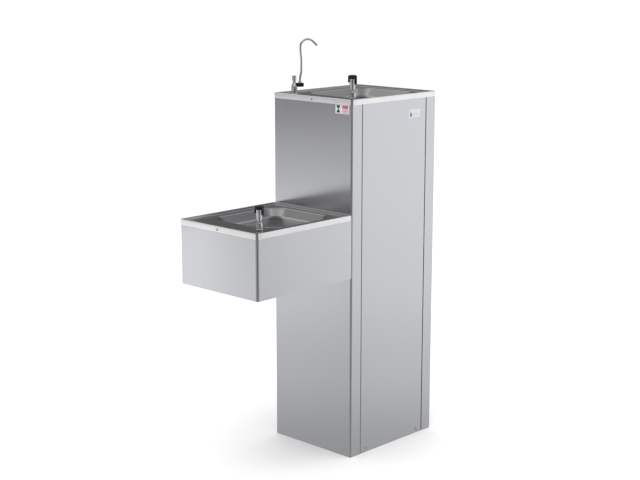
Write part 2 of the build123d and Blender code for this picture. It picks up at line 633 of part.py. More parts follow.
def compressor_grommets():
    """Rubber mounts that carry the compressor's foot plate."""
    outline = [
        (3.2, 1.5), (10, 1.5), (10, 15.4), (5.8, 15.4), (5.8, 18.6), (8.5, 18.6), (8.5, 23), (3.2, 23),
    ]
    return [Pos(x, y, 0) * turned(outline) for x, y in grommet_places()]


CONDENSER_X = (-50.0, 140.0)
CONDENSER_Y = 118.0
CONDENSER_ROWS = (175, 145, 115, 85, 55)


def condenser_fins():
    """Upright fins, each pierced by the five runs of the condenser's tube."""
    fins = []
    count = 24
    pitch = (CONDENSER_X[1] - CONDENSER_X[0] - 20) / (count - 1)
    for index in range(count):
        x = CONDENSER_X[0] + 10 + index * pitch
        fin = block((x - 0.4, x + 0.4), (CONDENSER_Y - 15, CONDENSER_Y + 15), (40, 190))
        for row_z in CONDENSER_ROWS:
            fin -= rod((x - 2, CONDENSER_Y, row_z), (1, 0, 0), 4, 3.6)
        fins.append(fin)
    return fins


def condenser_tube():
    """Serpentine tube through the fins."""
    points = []
    for index, row_z in enumerate(CONDENSER_ROWS):
        ends = (-55, 145) if index % 2 == 0 else (145, -55)
        points += [(x, CONDENSER_Y, row_z) for x in ends]
    return route(points, [14.5] * (len(points) - 2), 3.5)


def fan_shroud():
    """Square plate with a ring round the fan."""
    x, z = FAN
    plate = block((x - 90, x + 90), (92, 93.5), (z - 78, z + 78))
    plate += rod((x, 93.5, z), (0, -1, 0), 14, 74.5)
    plate -= rod((x, 100, z), (0, -1, 0), 30, 73)
    return plate


def fan_motor():
    """Motor, its cross bar and the two legs that fix the bar to the shroud."""
    x, z = FAN
    motor = rod((x, 38, z), (0, 1, 0), 30, 25)
    motor = fillet(motor.edges().filter_by(GeomType.CIRCLE), 4)
    motor += rod((x, 60, z), (0, 1, 0), 30, 3)
    motor += block((x - 84, x + 84), (36, 38.5), (z - 7, z + 7))
    for side in (-1, 1):
        xs = sorted((x + side * 82, x + side * 84))
        motor += block(xs, (36, 92), (z - 7, z + 7))
    return motor


def fan_blade():
    """Five pitched blades on a hub."""
    x, z = FAN
    hub = rod((0, 0, -7), (0, 0, 1), 14, 16)
    for index in range(5):
        blade = Rot(0, 0, index * 72) * Pos(42, 0, 0) * Rot(24, 0, 0) * Box(56, 30, 1.6)
        hub += blade
    hub -= rod((0, 0, -10), (0, 0, 1), 20, 3 + RUNNING_GAP)
    return Pos(x, 82, z) * Rot(90, 0, 0) * hub


COIL_R = 66.0
COIL_ZS = (275.0, 455.0)
COIL_TUBE_R = 3.5


def cold_tank():
    """Hollow stainless tank with two ports in its top."""
    x, y = TANK
    tank = rod((x, y, 262), (0, 0, 1), 220, 60)
    tank = fillet(tank.edges().filter_by(GeomType.CIRCLE), 15)
    inside = rod((x, y, 262 + SHEET), (0, 0, 1), 220 - 2 * SHEET, 60 - SHEET)
    inside = fillet(inside.edges().filter_by(GeomType.CIRCLE), 15 - SHEET)
    for dx in (-25, 25):
        tank += rod((x + dx, y - 20, 470), (0, 0, 1), 42, 6)
        inside += rod((x + dx, y - 20, 470), (0, 0, 1), 50, 4.5)
    return tank - inside


def evaporator_coil():
    """Copper coil round the tank."""
    height = COIL_ZS[1] - COIL_ZS[0]
    path = Helix(pitch=height / 9, height=height, radius=COIL_R)
    coil = sweep(Plane(origin=path @ 0, z_dir=path % 0) * Circle(COIL_TUBE_R), path=path, is_frenet=True)
    return Pos(*TANK, COIL_ZS[0]) * coil


def tank_insulation():
    """Foam jacket in two halves, split left and right."""
    x, y = TANK
    jacket = rod((x, y, SHELF_Z), (0, 0, 1), 258, 88)
    jacket -= rod((x, y, SHELF_Z + 18), (0, 0, 1), 226, 72)
    for dx in (-25, 25):
        jacket -= rod((x + dx, y - 20, 470), (0, 0, 1), 50, 6.5)
    line_x = x + COIL_R
    jacket -= rod((line_x, y, COIL_ZS[1]), (0, 1, 0), 100, 5)
    jacket -= rod((line_x, y, COIL_ZS[0]), (0, -1, 0), 100, 5)
    left_half = jacket & block((x - 100, x - 0.1), (y - 100, y + 100), (200, 600))
    right_half = jacket & block((x + 0.1, x + 100), (y - 100, y + 100), (200, 600))
    return [left_half, right_half]


def refrigerant_lines():
    """Suction, discharge, liquid and capillary lines."""
    x, y = COMPRESSOR
    line_x = TANK[0] + COIL_R
    coil_top = COIL_ZS[1]
    coil_low = COIL_ZS[0]
    suction = [
        (line_x, 2, coil_top), (line_x, 100, coil_top), (line_x, 100, 415), (126, 75, 380), (126, 75, 212),
        (x + 35, y, 212), (x + 35, y, 180),
    ]
    discharge = [
        (x, y - 38, 180), (x, y - 38, 212), (-70, y - 38, 212), (-70, CONDENSER_Y, 212),
        (-70, CONDENSER_Y, 175), (-55, CONDENSER_Y, 175),
    ]
    liquid = [(145, CONDENSER_Y, 55), (158, CONDENSER_Y, 55), (158, 60, 55), (158, 60, 75)]
    capillary = [
        (158, 60, 150), (158, 60, 205), (158, -75, 205), (158, -75, 275), (line_x, -110, 275),
        (line_x, -2, coil_low),
    ]
    return [
        route(suction, [12, 12, 12, 12, 12], 3.5),
        route(discharge, [12, 12, 12, 10], 3.0),
        route(liquid, [8, 8], 3.0),
        route(capillary, [12, 12, 12, 12], 1.5),
    ]


def filter_drier():
    """Spindle-shaped filter drier."""
    outline = [(0, 75), (3.5, 75), (3.5, 80), (9, 88), (9, 137), (3, 145), (3, 150), (0, 150)]
    return Pos(158, 60, 0) * turned(outline)


# ---- controls, power and water ----
THERMOSTAT = (-120.0, -92.0)


def thermostat():
    """Thermostat on the shelf, with its capillary and bulb beside the tank."""
    x, y = THERMOSTAT
    body = block((x - 22, x + 22), (y - 14, y + 16), (SHELF_Z, SHELF_Z + 42))
    body += rod((x, y - 10, SHELF_Z + 21), (0, -1, 0), 14, 3)
    tube = route([(x + 22, y, 262), (x + 90, y, 262), (x + 90, y, 400), (x + 96, -58, 440)], [12, 12], 1.0)
    return [body, tube]


def thermostat_dial():
    """Round dial with a raised pointer."""
    x, y = THERMOSTAT
    dial = rod((x, y - 15, SHELF_Z + 21), (0, -1, 0), 11, 14)
    dial = fillet(dial.edges().group_by(Axis.Y)[0], 1.5)
    dial += block((x - 1.2, x + 1.2), (y - 27, y - 20), (SHELF_Z + 22, SHELF_Z + 34))
    dial -= rod((x, y - 10, SHELF_Z + 21), (0, -1, 0), 14.1, 3 + RUNNING_GAP)
    return dial


def power_inlet():
    """Mains inlet with its frame for the rocker switch, in the casing's back."""
    frame = block((78, 138), (BACK, BACK + 1.5), (286, 316))
    for low_x, high_x in POWER_XS:
        frame += block((low_x, high_x), (BACK - 22, BACK + 1), POWER_Z)
    frame -= block((109, 131), (BACK - 17, BACK + 3), (293, 309))
    frame -= block((84, 96), (BACK - 20, BACK + 3), (292, 310))
    for pin_x in (114, 120, 126):
        frame += block((pin_x - 1, pin_x + 1), (BACK - 18, BACK - 2), (299, 303))
    return frame


def power_switch():
    """Rocker with its two faces at a slight angle, pivoted across X."""
    rocker = block((84.4, 95.6), (BACK - 9, BACK - 1), (293.5, 308.5))
    rocker += rod((84.4, BACK - 5, 301), (1, 0, 0), 11.2, 4.4)
    return Pos(90, BACK - 5, 301) * Rot(-8, 0, 0) * Pos(-90, -BACK + 5, -301) * rocker


def water_inlet():
    """Threaded stub with a hexagon, clamped in the service recess."""
    x = STACK[0]
    pan_y = BACK - RECESS_DEPTH
    inlet = rod((x, pan_y - 12, INLET_Z), (0, 1, 0), 50, INLET_R)
    inlet += hexagon((x, pan_y + SHEET + 0.1, INLET_Z), (0, 1, 0), 7, 24)
    inlet += hexagon((x, pan_y - 0.1, INLET_Z), (0, -1, 0), 6, 22)
    inlet -= rod((x, pan_y - 20, INLET_Z), (0, 1, 0), 70, 3)
    return inlet


def supply_manifold():
    """Block on the tank's outlet that feeds the three taps."""
    x = TANK[0] + 25
    y = TANK[1] - 20
    manifold = block((x - 20, x + 20), (y - 10, y + 10), (512, 536))
    for dx in (-13, 0, 13):
        manifold += rod((x + dx, y, 530), (0, 0, 1), 20, TUBE_R + 1.5)
    return manifold


def supply_tubes(upper_tap, low_tap, filler_tap):
    """Water tubes: mains to tank, and manifold to the three taps."""
    x = TANK[0] + 25
    y = TANK[1] - 20
    upper_end = upper_tap[:2] + (upper_tap[2] - SHANK_LENGTH,)
    low_end = low_tap[:2] + (low_tap[2] - SHANK_LENGTH,)
    filler_end = filler_tap[:2] + (filler_tap[2] - SHANK_LENGTH,)
    hole_y, hole_z = SUPPLY_HOLE
    mains = [
        (STACK[0], BACK - 57, INLET_Z), (STACK[0], 64, INLET_Z), (-60, 40, 200), (-60, 40, 300),
        (-48, -20, 545), (TANK[0] - 25, y, 545), (TANK[0] - 25, y, 512),
    ]
    to_upper = [
        (x - 13, y, 550), (x - 13, y, 600), (-80, -75, 640), (upper_end[0], upper_end[1], 720), upper_end,
    ]
    to_filler = [
        (x, y, 550), (x, y, 620), (20, 95, 690), (filler_end[0], filler_end[1], 780), filler_end,
    ]
    to_low = [
        (x + 13, y, 550), (x + 13, y, 580), (40, hole_y, hole_z), (LEFT - 60, hole_y, hole_z),
        (low_end[0], low_end[1], 575), low_end,
    ]
    return [
        route(mains, [16, 20, 20, 24, 16], TUBE_R, TUBE_BORE),
        route(to_upper, [24, 40, 40], TUBE_R, TUBE_BORE),
        route(to_filler, [24, 40, 40], TUBE_R, TUBE_BORE),
        route(to_low, [14, 30, 40, 30], TUBE_R, TUBE_BORE),
    ]


# ---- labels ----
def labels():
    """Two thin stickers, on the column's left face and on the front panel."""
    film = 0.35
    pictogram_z = (DECK_Z - 35, DECK_Z - 11)
    write("pictogram_label", block((LEFT - film, LEFT), (FRONT + 10, FRONT + 60), pictogram_z))
    write("panel_label", block((58, 108), (FRONT - film, FRONT), (932, 955)))


def build():
    """Write every node."""
    write("wrap_casing", wrap_casing())
    write("front_panel", front_panel())
    write("front_panel_screws", *front_panel_screws())
    write("base_tray", base_tray())
    write("chiller_shelf", chiller_shelf())
    write("service_recess", service_recess())
    write("upper_deck", deck(RIM_Z, LEFT, RIGHT + SKIRT_OUT, True))
    write("low_deck", deck(LOW_RIM_Z, LOW_LEFT, LEFT - CLEAR, False))
    write("deck_screws", *deck_screws())
    write("low_box_shell", low_box_shell())
    write("low_box_floor", low_box_floor())
    write("low_box_floor_screws", *low_box_floor_screws())
    plate_x = LEFT - CLEAR - SHEET - 3.2
    backing_x = LEFT + SHEET + 0.1
    write("low_box_end_plate", fixing_plate(plate_x, 3, 140, (522, 662)))
    write("column_backing_plate", fixing_plate(backing_x, 3, 130, (522, 668)))
    write("low_box_bolts", *low_box_bolts(plate_x, backing_x + 3))

    washer = 1
    bubbler_y = FRONT + BUBBLER_FROM_FRONT
    upper_tap = (LEFT + BUBBLER_FROM_LEFT, bubbler_y, DECK_Z + washer)
    low_tap = (LOW_LEFT + BUBBLER_FROM_LEFT, bubbler_y, LOW_DECK_Z + washer)
    filler_tap = (LEFT + FILLER_FROM_LEFT, BACK - FILLER_FROM_BACK, DECK_Z + washer)
    bubbler_parts("upper", upper_tap)
    bubbler_parts("low", low_tap)
    filler_parts(filler_tap)
    tap_seals_and_nuts([(x, y, z - washer) for x, y, z in (upper_tap, low_tap, filler_tap)], washer)

    upper_drain = drain_point(LEFT, DECK_Z)
    low_drain = drain_point(LOW_LEFT, LOW_DECK_Z)
    write("drain_strainers", strainer(upper_drain), strainer(low_drain))
    write("waste_fittings", waste_fitting(upper_drain), waste_fitting(low_drain))
    write("waste_nuts", waste_nut(upper_drain), waste_nut(low_drain))
    waste_pipes(upper_drain, low_drain)

    write("compressor", compressor())
    write("compressor_grommets", *compressor_grommets())
    write("relay_box", block((COMPRESSOR[0] - 95, COMPRESSOR[0] - 61), (-75, -30), (60, 120)))
    write("condenser_fins", *condenser_fins())
    write("condenser_tube", condenser_tube())
    write("fan_shroud", fan_shroud())
    write("fan_motor", fan_motor())
    write("fan_blade", fan_blade())
    write("cold_tank", cold_tank())
    write("evaporator_coil", evaporator_coil())
    write("tank_insulation", *tank_insulation())
    write("refrigerant_lines", *refrigerant_lines())
    write("filter_drier", filter_drier())
    write("thermostat", *thermostat())
    write("thermostat_dial", thermostat_dial())
    write("power_inlet", power_inlet())
    write("power_switch", power_switch())
    write("water_inlet", water_inlet())
    write("supply_manifold", supply_manifold())
    write("supply_tubes", *supply_tubes(upper_tap, low_tap, filler_tap))
    labels()


build()
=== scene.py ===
import json
import math

import bmesh
import bpy
from mathutils import Matrix, Vector


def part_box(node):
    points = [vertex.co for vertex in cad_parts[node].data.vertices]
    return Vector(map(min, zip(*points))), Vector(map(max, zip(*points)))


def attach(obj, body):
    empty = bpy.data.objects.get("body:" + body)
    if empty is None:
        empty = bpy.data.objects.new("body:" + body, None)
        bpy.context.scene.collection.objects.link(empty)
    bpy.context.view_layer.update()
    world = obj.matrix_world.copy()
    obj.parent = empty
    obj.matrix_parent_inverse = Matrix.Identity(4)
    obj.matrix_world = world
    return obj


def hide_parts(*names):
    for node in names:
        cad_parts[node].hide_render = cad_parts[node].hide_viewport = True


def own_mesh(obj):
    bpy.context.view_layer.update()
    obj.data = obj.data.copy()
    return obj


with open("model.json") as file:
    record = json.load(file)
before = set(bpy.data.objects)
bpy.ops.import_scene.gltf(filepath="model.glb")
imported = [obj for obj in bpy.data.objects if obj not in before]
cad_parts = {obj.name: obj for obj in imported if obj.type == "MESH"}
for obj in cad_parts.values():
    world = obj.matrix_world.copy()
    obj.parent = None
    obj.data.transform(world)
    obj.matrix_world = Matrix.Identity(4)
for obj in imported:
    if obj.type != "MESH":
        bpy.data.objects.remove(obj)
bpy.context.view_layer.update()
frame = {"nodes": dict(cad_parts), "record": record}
SCENE = bpy.context.scene
SCENE.view_settings.view_transform = "Standard"

# ---- driving sizes of the looks, in metres ----
SHEET = 0.0012              # stainless sheet
SKIRT_BEND = 0.0018         # outside radius where a top folds down into its skirt
SKIRT_OUT = 0.0015          # how far a skirt stands proud of the casing
SKIRT_H = 0.015
CORNER_GAP = 0.005          # open corner between two skirts
LIP = 0.007                 # width of the raised lip round a top
LIP_STEP = 0.005            # height of the lip above the deck
LEDGE = 0.075               # tap ledge beside each bowl
BOWL_HALF = (0.1225, 0.1125)
BOWL_CORNER = 0.042
BOWL_SLOPE = 0.015
BOWL_TAPER = 0.012          # how much tighter a bowl's corners are at its foot
BOWL_WALL = 0.025
BOWL_FALL = 0.008
DRAIN_SEAT_R = 0.0305
DRAIN_SEAT = 0.0025
DRAIN_HOLE_R = 0.024
TAP_FLANGE = (0.011, 0.0022)    # foot flange of each tap: radius, height
SHANK = (0.006, 0.045)      # threaded shank of each tap: radius, length
BUBBLER_H = 0.055           # bubbler's body above its washer
HOOD_TURN = 36.0            # the bubbler's jet faces the bowl, degrees from +X
SPRINGS = (                 # tap, wire radius, turns
    ("upper_bubbler", 0.00045, 6),
    ("low_bubbler", 0.00045, 6),
    ("filler", 0.0003, 7),
)
CAP_R = 0.0123
CAP_H = 0.063               # cap's top above the bubbler's washer
FILLER_PLACE = (-0.137, 0.1055, 0.996)
FILLER_TURN = -34.0         # the filler's arm from +X, degrees
ARM_Z = 0.025
ARM_R = 0.0058
SPOUT_OUT = 0.016
SPOUT_R = 0.003
SPOUT_TOP = 0.1508


# ---- mesh helpers ----
def add_object(name, vertices, faces, material, smooth_angle=35.0):
    """New mesh object from points and faces, shaded smooth except at sharp edges."""
    mesh = bpy.data.meshes.new(name)
    mesh.from_pydata([tuple(v) for v in vertices], [], faces)
    mesh.validate()
    mesh.materials.append(material)
    work = bmesh.new()
    work.from_mesh(mesh)
    bmesh.ops.remove_doubles(work, verts=work.verts, dist=1e-6)
    bmesh.ops.recalc_face_normals(work, faces=work.faces)
    work.to_mesh(mesh)
    work.free()
    mesh.shade_smooth()
    mesh.set_sharp_from_angle(angle=math.radians(smooth_angle))
    obj = bpy.data.objects.new(name, mesh)
    SCENE.collection.objects.link(obj)
    return obj


def band_faces(rows, count, closed=False):
    """Quads between rows of points that each run round once; closed joins the last row to the first."""
    faces = []
    for row in range(rows if closed else rows - 1):
        next_row = (row + 1) % rows
        for index in range(count):
            next_index = (index + 1) % count
            faces.append((
                row * count + index, row * count + next_index,
                next_row * count + next_index, next_row * count + index,
            ))
    return faces


def section_faces(sections, rows):
    """Quads between upright sections of points, the last section joined to the first."""
    faces = []
    for index in range(sections):
        here = index * rows
        there = (index + 1) % sections * rows
        for row in range(rows - 1):
            faces.append((here + row, there + row, there + row + 1, here + row + 1))
    return faces


def weight_normals(obj):
    """Keeps flat faces flat where they run into rounded edges."""
    modifier = obj.modifiers.new("Even shading", "WEIGHTED_NORMAL")
    modifier.keep_sharp = True
    return obj


def rounded(corners, steps=6, closed=False):
    """Points of an outline whose (a, b, radius) corners are drawn as arcs."""
    points = []
    count = len(corners)
    for index, (a, b, radius) in enumerate(corners):
        here = Vector((a, b))
        at_end = not closed and index in (0, count - 1)
        if radius == 0 or at_end:
            points.append(here)
            continue
        before = Vector(corners[index - 1][:2]) - here
        after = Vector(corners[(index + 1) % count][:2]) - here
        turn = before.angle(after)
        cut = radius / math.tan(turn / 2)
        start = here + before.normalized() * cut
        halfway = (before.normalized() + after.normalized()).normalized()
        middle = here + halfway * (radius / math.sin(turn / 2))
        end = here + after.normalized() * cut
        first = math.atan2(start.y - middle.y, start.x - middle.x)
        sweep = math.atan2(end.y - middle.y, end.x - middle.x) - first
        sweep = (sweep + math.pi) % (2 * math.pi) - math.pi
        for step in range(steps + 1):
            angle = first + sweep * step / steps
            points.append(middle + radius * Vector((math.cos(angle), math.sin(angle))))
    return points


def lathe(name, corners, material, segments=72, closed=False, steps=6, transform=Matrix()):
    """Turned piece about Z from (radius, z, fillet) corners."""
    section = rounded(corners, steps, closed)
    vertices = []
    for point in section:
        for index in range(segments):
            angle = 2 * math.pi * index / segments
            place = Vector((point.x * math.cos(angle), point.x * math.sin(angle), point.y))
            vertices.append(transform @ place)
    faces = band_faces(len(section), segments, closed)
    return weight_normals(add_object(name, vertices, faces, material))


def tube(name, points, radii, bore, material, segments=40):
    """Tube along a line of points, open along its bore; radii that taper at an end round its rim."""
    rings = []
    normal = Vector((0.1, 1, 0.05))
    for index, point in enumerate(points):
        ahead = points[min(index + 1, len(points) - 1)]
        behind = points[max(index - 1, 0)]
        tangent = (ahead - behind).normalized()
        normal = (normal - tangent * normal.dot(tangent)).normalized()
        side = tangent.cross(normal)
        rings.append((point, normal.copy(), side))
    vertices = []
    rows = list(zip(rings, radii))
    rows += [(line_ring, bore) for line_ring in reversed(rings)]
    for (point, across, side), radius in rows:
        for index in range(segments):
            angle = 2 * math.pi * index / segments
            vertices.append(point + radius * (math.cos(angle) * across + math.sin(angle) * side))
    return weight_normals(add_object(name, vertices, band_faces(len(rows), segments, True), material))


def settle(piece, body, node=None):
    """Puts a piece on its body, in the place of a CAD node."""
    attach(piece, body)
    if node:
        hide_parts(node)


# ---- material helpers ----
class Finish:
    """One procedural material, built up step by step on its shader."""

    def __init__(self, name, colour, metallic=0.0, roughness=0.4):
        self.material = bpy.data.materials.new(name)
        self.material.use_nodes = True
        self.nodes = self.material.node_tree.nodes
        self.links = self.material.node_tree.links
        self.shader = self.nodes["Principled BSDF"]
        self.shader.inputs["Base Color"].default_value = (*colour, 1)
        self.shader.inputs["Metallic"].default_value = metallic
        self.shader.inputs["Roughness"].default_value = roughness
        self.colour = colour
        self.roughness = roughness
        self.place = self.nodes.new("ShaderNodeTexCoord").outputs["Object"]

    def set(self, **values):
        """Plain numbers on the shader's own sockets."""
        for socket, value in values.items():
            self.shader.inputs[socket.replace("_", " ")].default_value = value

    def noise(self, stretch, detail=3.0, rough=0.55):
        """Noise with so many features a metre along X, Y and Z."""
        mapping = self.nodes.new("ShaderNodeMapping")
        mapping.inputs["Scale"].default_value = stretch
        self.links.new(self.place, mapping.inputs["Vector"])
        texture = self.nodes.new("ShaderNodeTexNoise")
        texture.inputs["Scale"].default_value = 1.0
        texture.inputs["Detail"].default_value = detail
        texture.inputs["Roughness"].default_value = rough
        self.links.new(mapping.outputs["Vector"], texture.inputs["Vector"])
        return texture.outputs["Fac"]

    def cells(self, size):
        """Cell pattern with so many cells a metre."""
        texture = self.nodes.new("ShaderNodeTexVoronoi")
        texture.inputs["Scale"].default_value = size
        self.links.new(self.place, texture.inputs["Vector"])
        return texture.outputs["Distance"]

    def spread(self, value, low, high, bottom=0.3, top=0.7):
        """Value stretched from bottom..top to low..high."""
        ranged = self.nodes.new("ShaderNodeMapRange")
        ranged.inputs["From Min"].default_value = bottom
        ranged.inputs["From Max"].default_value = top
        ranged.inputs["To Min"].default_value = low
        ranged.inputs["To Max"].default_value = high
        self.links.new(value, ranged.inputs["Value"])
        return ranged.outputs["Result"]

    def blend(self, value, dark, light, bottom=0.3, top=0.7):
        """Colour between dark and light by a value."""
        ramp = self.nodes.new("ShaderNodeValToRGB")
        ramp.color_ramp.elements[0].position = bottom
        ramp.color_ramp.elements[0].color = (*dark, 1)
        ramp.color_ramp.elements[1].position = top
        ramp.color_ramp.elements[1].color = (*light, 1)
        self.links.new(value, ramp.inputs["Fac"])
        return ramp.outputs["Color"]

    def tint(self, value, amount):
        """Base colour that varies by an amount either way."""
        dark = tuple(c * (1 - amount) for c in self.colour)
        light = tuple(min(1.0, c * (1 + amount)) for c in self.colour)
        self.links.new(self.blend(value, dark, light), self.shader.inputs["Base Color"])

    def gloss(self, value, amount):
        """Roughness that varies by an amount either way."""
        low, high = self.roughness - amount, self.roughness + amount
        self.links.new(self.spread(value, low, high), self.shader.inputs["Roughness"])

    def relief(self, *layers):
        """Bump from (value, depth in metres) layers."""
        normal = None
        for value, depth in layers:
            bump = self.nodes.new("ShaderNodeBump")
            bump.inputs["Distance"].default_value = depth
            bump.inputs["Strength"].default_value = 1.0
            self.links.new(value, bump.inputs["Height"])
            if normal:
                self.links.new(normal, bump.inputs["Normal"])
            normal = bump.outputs["Normal"]
        self.links.new(normal, self.shader.inputs["Normal"])

    def grain_around(self, axis):
        """Brushed highlights that spread across a grain lying along an axis."""
        tangent = self.nodes.new("ShaderNodeTangent")
        tangent.direction_type = "RADIAL"
        tangent.axis = axis
        self.links.new(tangent.outputs["Tangent"], self.shader.inputs["Tangent"])


def brushed_steel():
    """Sheet with a fine vertical grain and the faintest rolling streaks."""
    made = Finish("stainless_brushed", (0.665, 0.672, 0.703), 1.0, 0.22)
    made.set(Anisotropic=0.8)
    made.grain_around("Z")
    fine = made.noise((1100, 1100, 9), 2.0)
    streaks = made.noise((90, 90, 0.8), 3.0)
    clouds = made.noise((4, 4, 2.5), 2.0)
    made.tint(streaks, 0.018)
    made.gloss(streaks, 0.02)
    made.relief((fine, 0.0000025), (clouds, 0.0002))
    return made.material


def satin_steel():
    """Pressed sheet, polished along the tops, with light use marks."""
    made = Finish("stainless_satin", (0.405, 0.398, 0.405), 1.0, 0.21)
    fine = made.noise((50, 1500, 1500), 2.0)
    marks = made.noise((90, 90, 90), 4.0, 0.7)
    clouds = made.noise((14, 14, 14), 2.0)
    made.tint(clouds, 0.03)
    made.gloss(marks, 0.05)
    made.relief((fine, 0.000004), (clouds, 0.00015))
    return made.material


def skirt_steel_painted_light():
    """Steel for the skirts and outer fold of a top, far lighter and partly matt beside the top's satin
    steel: painted light, the brightness that the upright skirts catch.
    """
    made = Finish("stainless_skirt_painted_light", (0.92, 0.92, 0.925), 0.87, 0.34)
    fine = made.noise((40, 40, 1500), 2.0)
    clouds = made.noise((20, 20, 20), 3.0)
    made.tint(clouds, 0.02)
    made.gloss(clouds, 0.04)
    made.relief((fine, 0.000004))
    return made.material


def chrome():
    """Bright plating with the softest ripple of the casting below."""
    made = Finish("chrome", (0.86, 0.87, 0.88), 1.0, 0.06)
    ripple = made.noise((160, 160, 160), 2.0)
    film = made.noise((45, 45, 70), 4.0, 0.65)
    made.tint(film, 0.02)
    made.gloss(film, 0.03)
    made.relief((ripple, 0.00006))
    return made.material


def black_plastic():
    """Glossy moulded black with a faint grain."""
    made = Finish("black_plastic", (0.006, 0.006, 0.0065), 0.0, 0.22)
    grain = made.noise((2600, 2600, 2600), 2.0)
    film = made.noise((60, 60, 60), 4.0, 0.65)
    made.tint(film, 0.3)
    made.gloss(film, 0.06)
    made.relief((grain, 0.00001))
    made.set(Specular_IOR_Level=0.35)
    return made.material


def simple_metal(name, colour, roughness, stretch, mark=0.05, depth=0.00003):
    """Bare or plated metal with marks of its own scale."""
    made = Finish(name, colour, 1.0, roughness)
    grain = made.noise(stretch, 4.0, 0.6)
    clouds = made.noise((40, 40, 40), 3.0)
    made.tint(clouds, mark)
    made.gloss(grain, min(0.08, roughness * 0.4))
    made.relief((grain, depth))
    return made.material


def simple_plastic(name, colour, roughness, mark=0.06, depth=0.00003, size=900):
    """Moulded plastic, rubber or paint with its own grain."""
    made = Finish(name, colour, 0.0, roughness)
    grain = made.noise((size, size, size), 3.0)
    clouds = made.noise((30, 30, 30), 4.0)
    made.tint(clouds, mark)
    made.gloss(clouds, min(0.1, roughness * 0.3))
    made.relief((grain, depth))
    return made.material


def galvanised_steel():
    """Zinc with its spangle."""
    made = Finish("galvanised_steel", (0.60, 0.62, 0.64), 1.0, 0.42)
    spangle = made.cells(110)
    clouds = made.noise((60, 60, 60), 3.0)
    made.tint(spangle, 0.14)
    made.gloss(clouds, 0.1)
    made.relief((spangle, 0.00004))
    return made.material


def foam():
    """Open-skinned insulating foam."""
    made = Finish("foam", (0.72, 0.66, 0.50), 0.0, 0.9)
    pores = made.cells(480)
    clouds = made.noise((25, 25, 25), 4.0)
    made.tint(clouds, 0.12)
    made.gloss(clouds, 0.06)
    made.relief((pores, 0.0006))
    return made.material


MATERIALS = {
    "stainless_brushed": brushed_steel(),
    "stainless_satin": satin_steel(),
    "steel_screw": simple_metal("steel_screw", (0.62, 0.62, 0.63), 0.25, (900, 900, 900)),
    "galvanised_steel": galvanised_steel(),
    "chrome": chrome(),
    "black_plastic": black_plastic(),
    "spring_steel": simple_metal("spring_steel", (0.50, 0.50, 0.52), 0.3, (1200, 1200, 1200)),
    "black_rubber": simple_plastic("black_rubber", (0.022, 0.022, 0.023), 0.6, 0.2, 0.00006, 1400),
    "brass": simple_metal("brass", (0.80, 0.60, 0.28), 0.25, (700, 700, 700)),
    "copper": simple_metal("copper", (0.83, 0.44, 0.30), 0.28, (500, 500, 500), 0.12),
    "grey_pipe": simple_plastic("grey_pipe", (0.30, 0.31, 0.32), 0.38),
    "white_plastic": simple_plastic("white_plastic", (0.78, 0.78, 0.76), 0.4),
    "black_enamel": simple_plastic("black_enamel", (0.015, 0.015, 0.016), 0.32, 0.25, 0.0001, 350),
    "aluminium": simple_metal("aluminium", (0.78, 0.79, 0.80), 0.35, (80, 2200, 80)),
    "foam": foam(),
    "label_film": simple_plastic("label_film", (0.60, 0.60, 0.62), 0.3, 0.02, 0.00001, 500),
}
SKIRT_STEEL_PAINTED_LIGHT = skirt_steel_painted_light()


def dress_cad_nodes():
    """Gives every CAD node the procedural material of its slot."""
    for part in frame["record"]["subparts"]:
        slots = frame["nodes"][part["node"]].data.materials
        slots.clear()
        slots.append(MATERIALS[part["material_slot"]])


# ---- camera, floor and light ----
CAMERA_AZIMUTH = math.radians(-46.19)
CAMERA_ELEVATION = math.radians(11.88)
CAMERA_PLACE = (-2.7772, -2.5265, 1.3636)
CAMERA_LENS = 75.1


def add_camera():
    """Camera at the viewing angle, level, with no shift and no depth of field."""
    data = bpy.data.cameras.new("camera")
    data.lens = CAMERA_LENS
    data.sensor_width = 36.0
    data.clip_start = 0.05
    data.clip_end = 200.0
    camera = bpy.data.objects.new("camera", data)
    SCENE.collection.objects.link(camera)
    flat = math.cos(CAMERA_ELEVATION)
    back = Vector((
        math.sin(CAMERA_AZIMUTH) * flat, -math.cos(CAMERA_AZIMUTH) * flat, math.sin(CAMERA_ELEVATION),
    ))
    camera.location = CAMERA_PLACE
    camera.rotation_mode = "QUATERNION"
    camera.rotation_quaternion = (-back).to_track_quat("-Z", "Y")
    SCENE.camera = camera


def add_floor():
    """Wide pale floor under the fountain."""
    made = Finish("floor_paint", (0.93, 0.93, 0.93), 0.0, 0.85)
    made.tint(made.noise((3, 3, 3), 2.0), 0.01)
    made.set(Specular_IOR_Level=0.1)
    reach = 60.0
    corners = [(-reach, -reach, 0), (reach, -reach, 0), (reach, reach, 0), (-reach, reach, 0)]
    floor = add_object("floor", corners, [(0, 1, 2, 3)], made.material)
    floor.visible_glossy = False


GRADE_REACH = 2.0           # a graded value runs from minus this to plus this


def graded(nodes, links, value, levels):
    """Strength that follows (value, strength) levels, through a colour ramp."""
    ranged = nodes.new("ShaderNodeMapRange")
    ranged.inputs["From Min"].default_value = -GRADE_REACH
    ranged.inputs["From Max"].default_value = GRADE_REACH
    links.new(value, ranged.inputs["Value"])
    ramp = nodes.new("ShaderNodeValToRGB")
    ramp.color_ramp.interpolation = "EASE"
    stops = ramp.color_ramp.elements
    while len(stops) < len(levels):
        stops.new(0.5)
    for stop, (height, strength) in zip(stops, levels):
        stop.position = (height + GRADE_REACH) / (2 * GRADE_REACH)
        stop.color = (strength, strength, strength, 1)
    links.new(ranged.outputs["Result"], ramp.inputs["Fac"])
    return ramp.outputs["Color"]


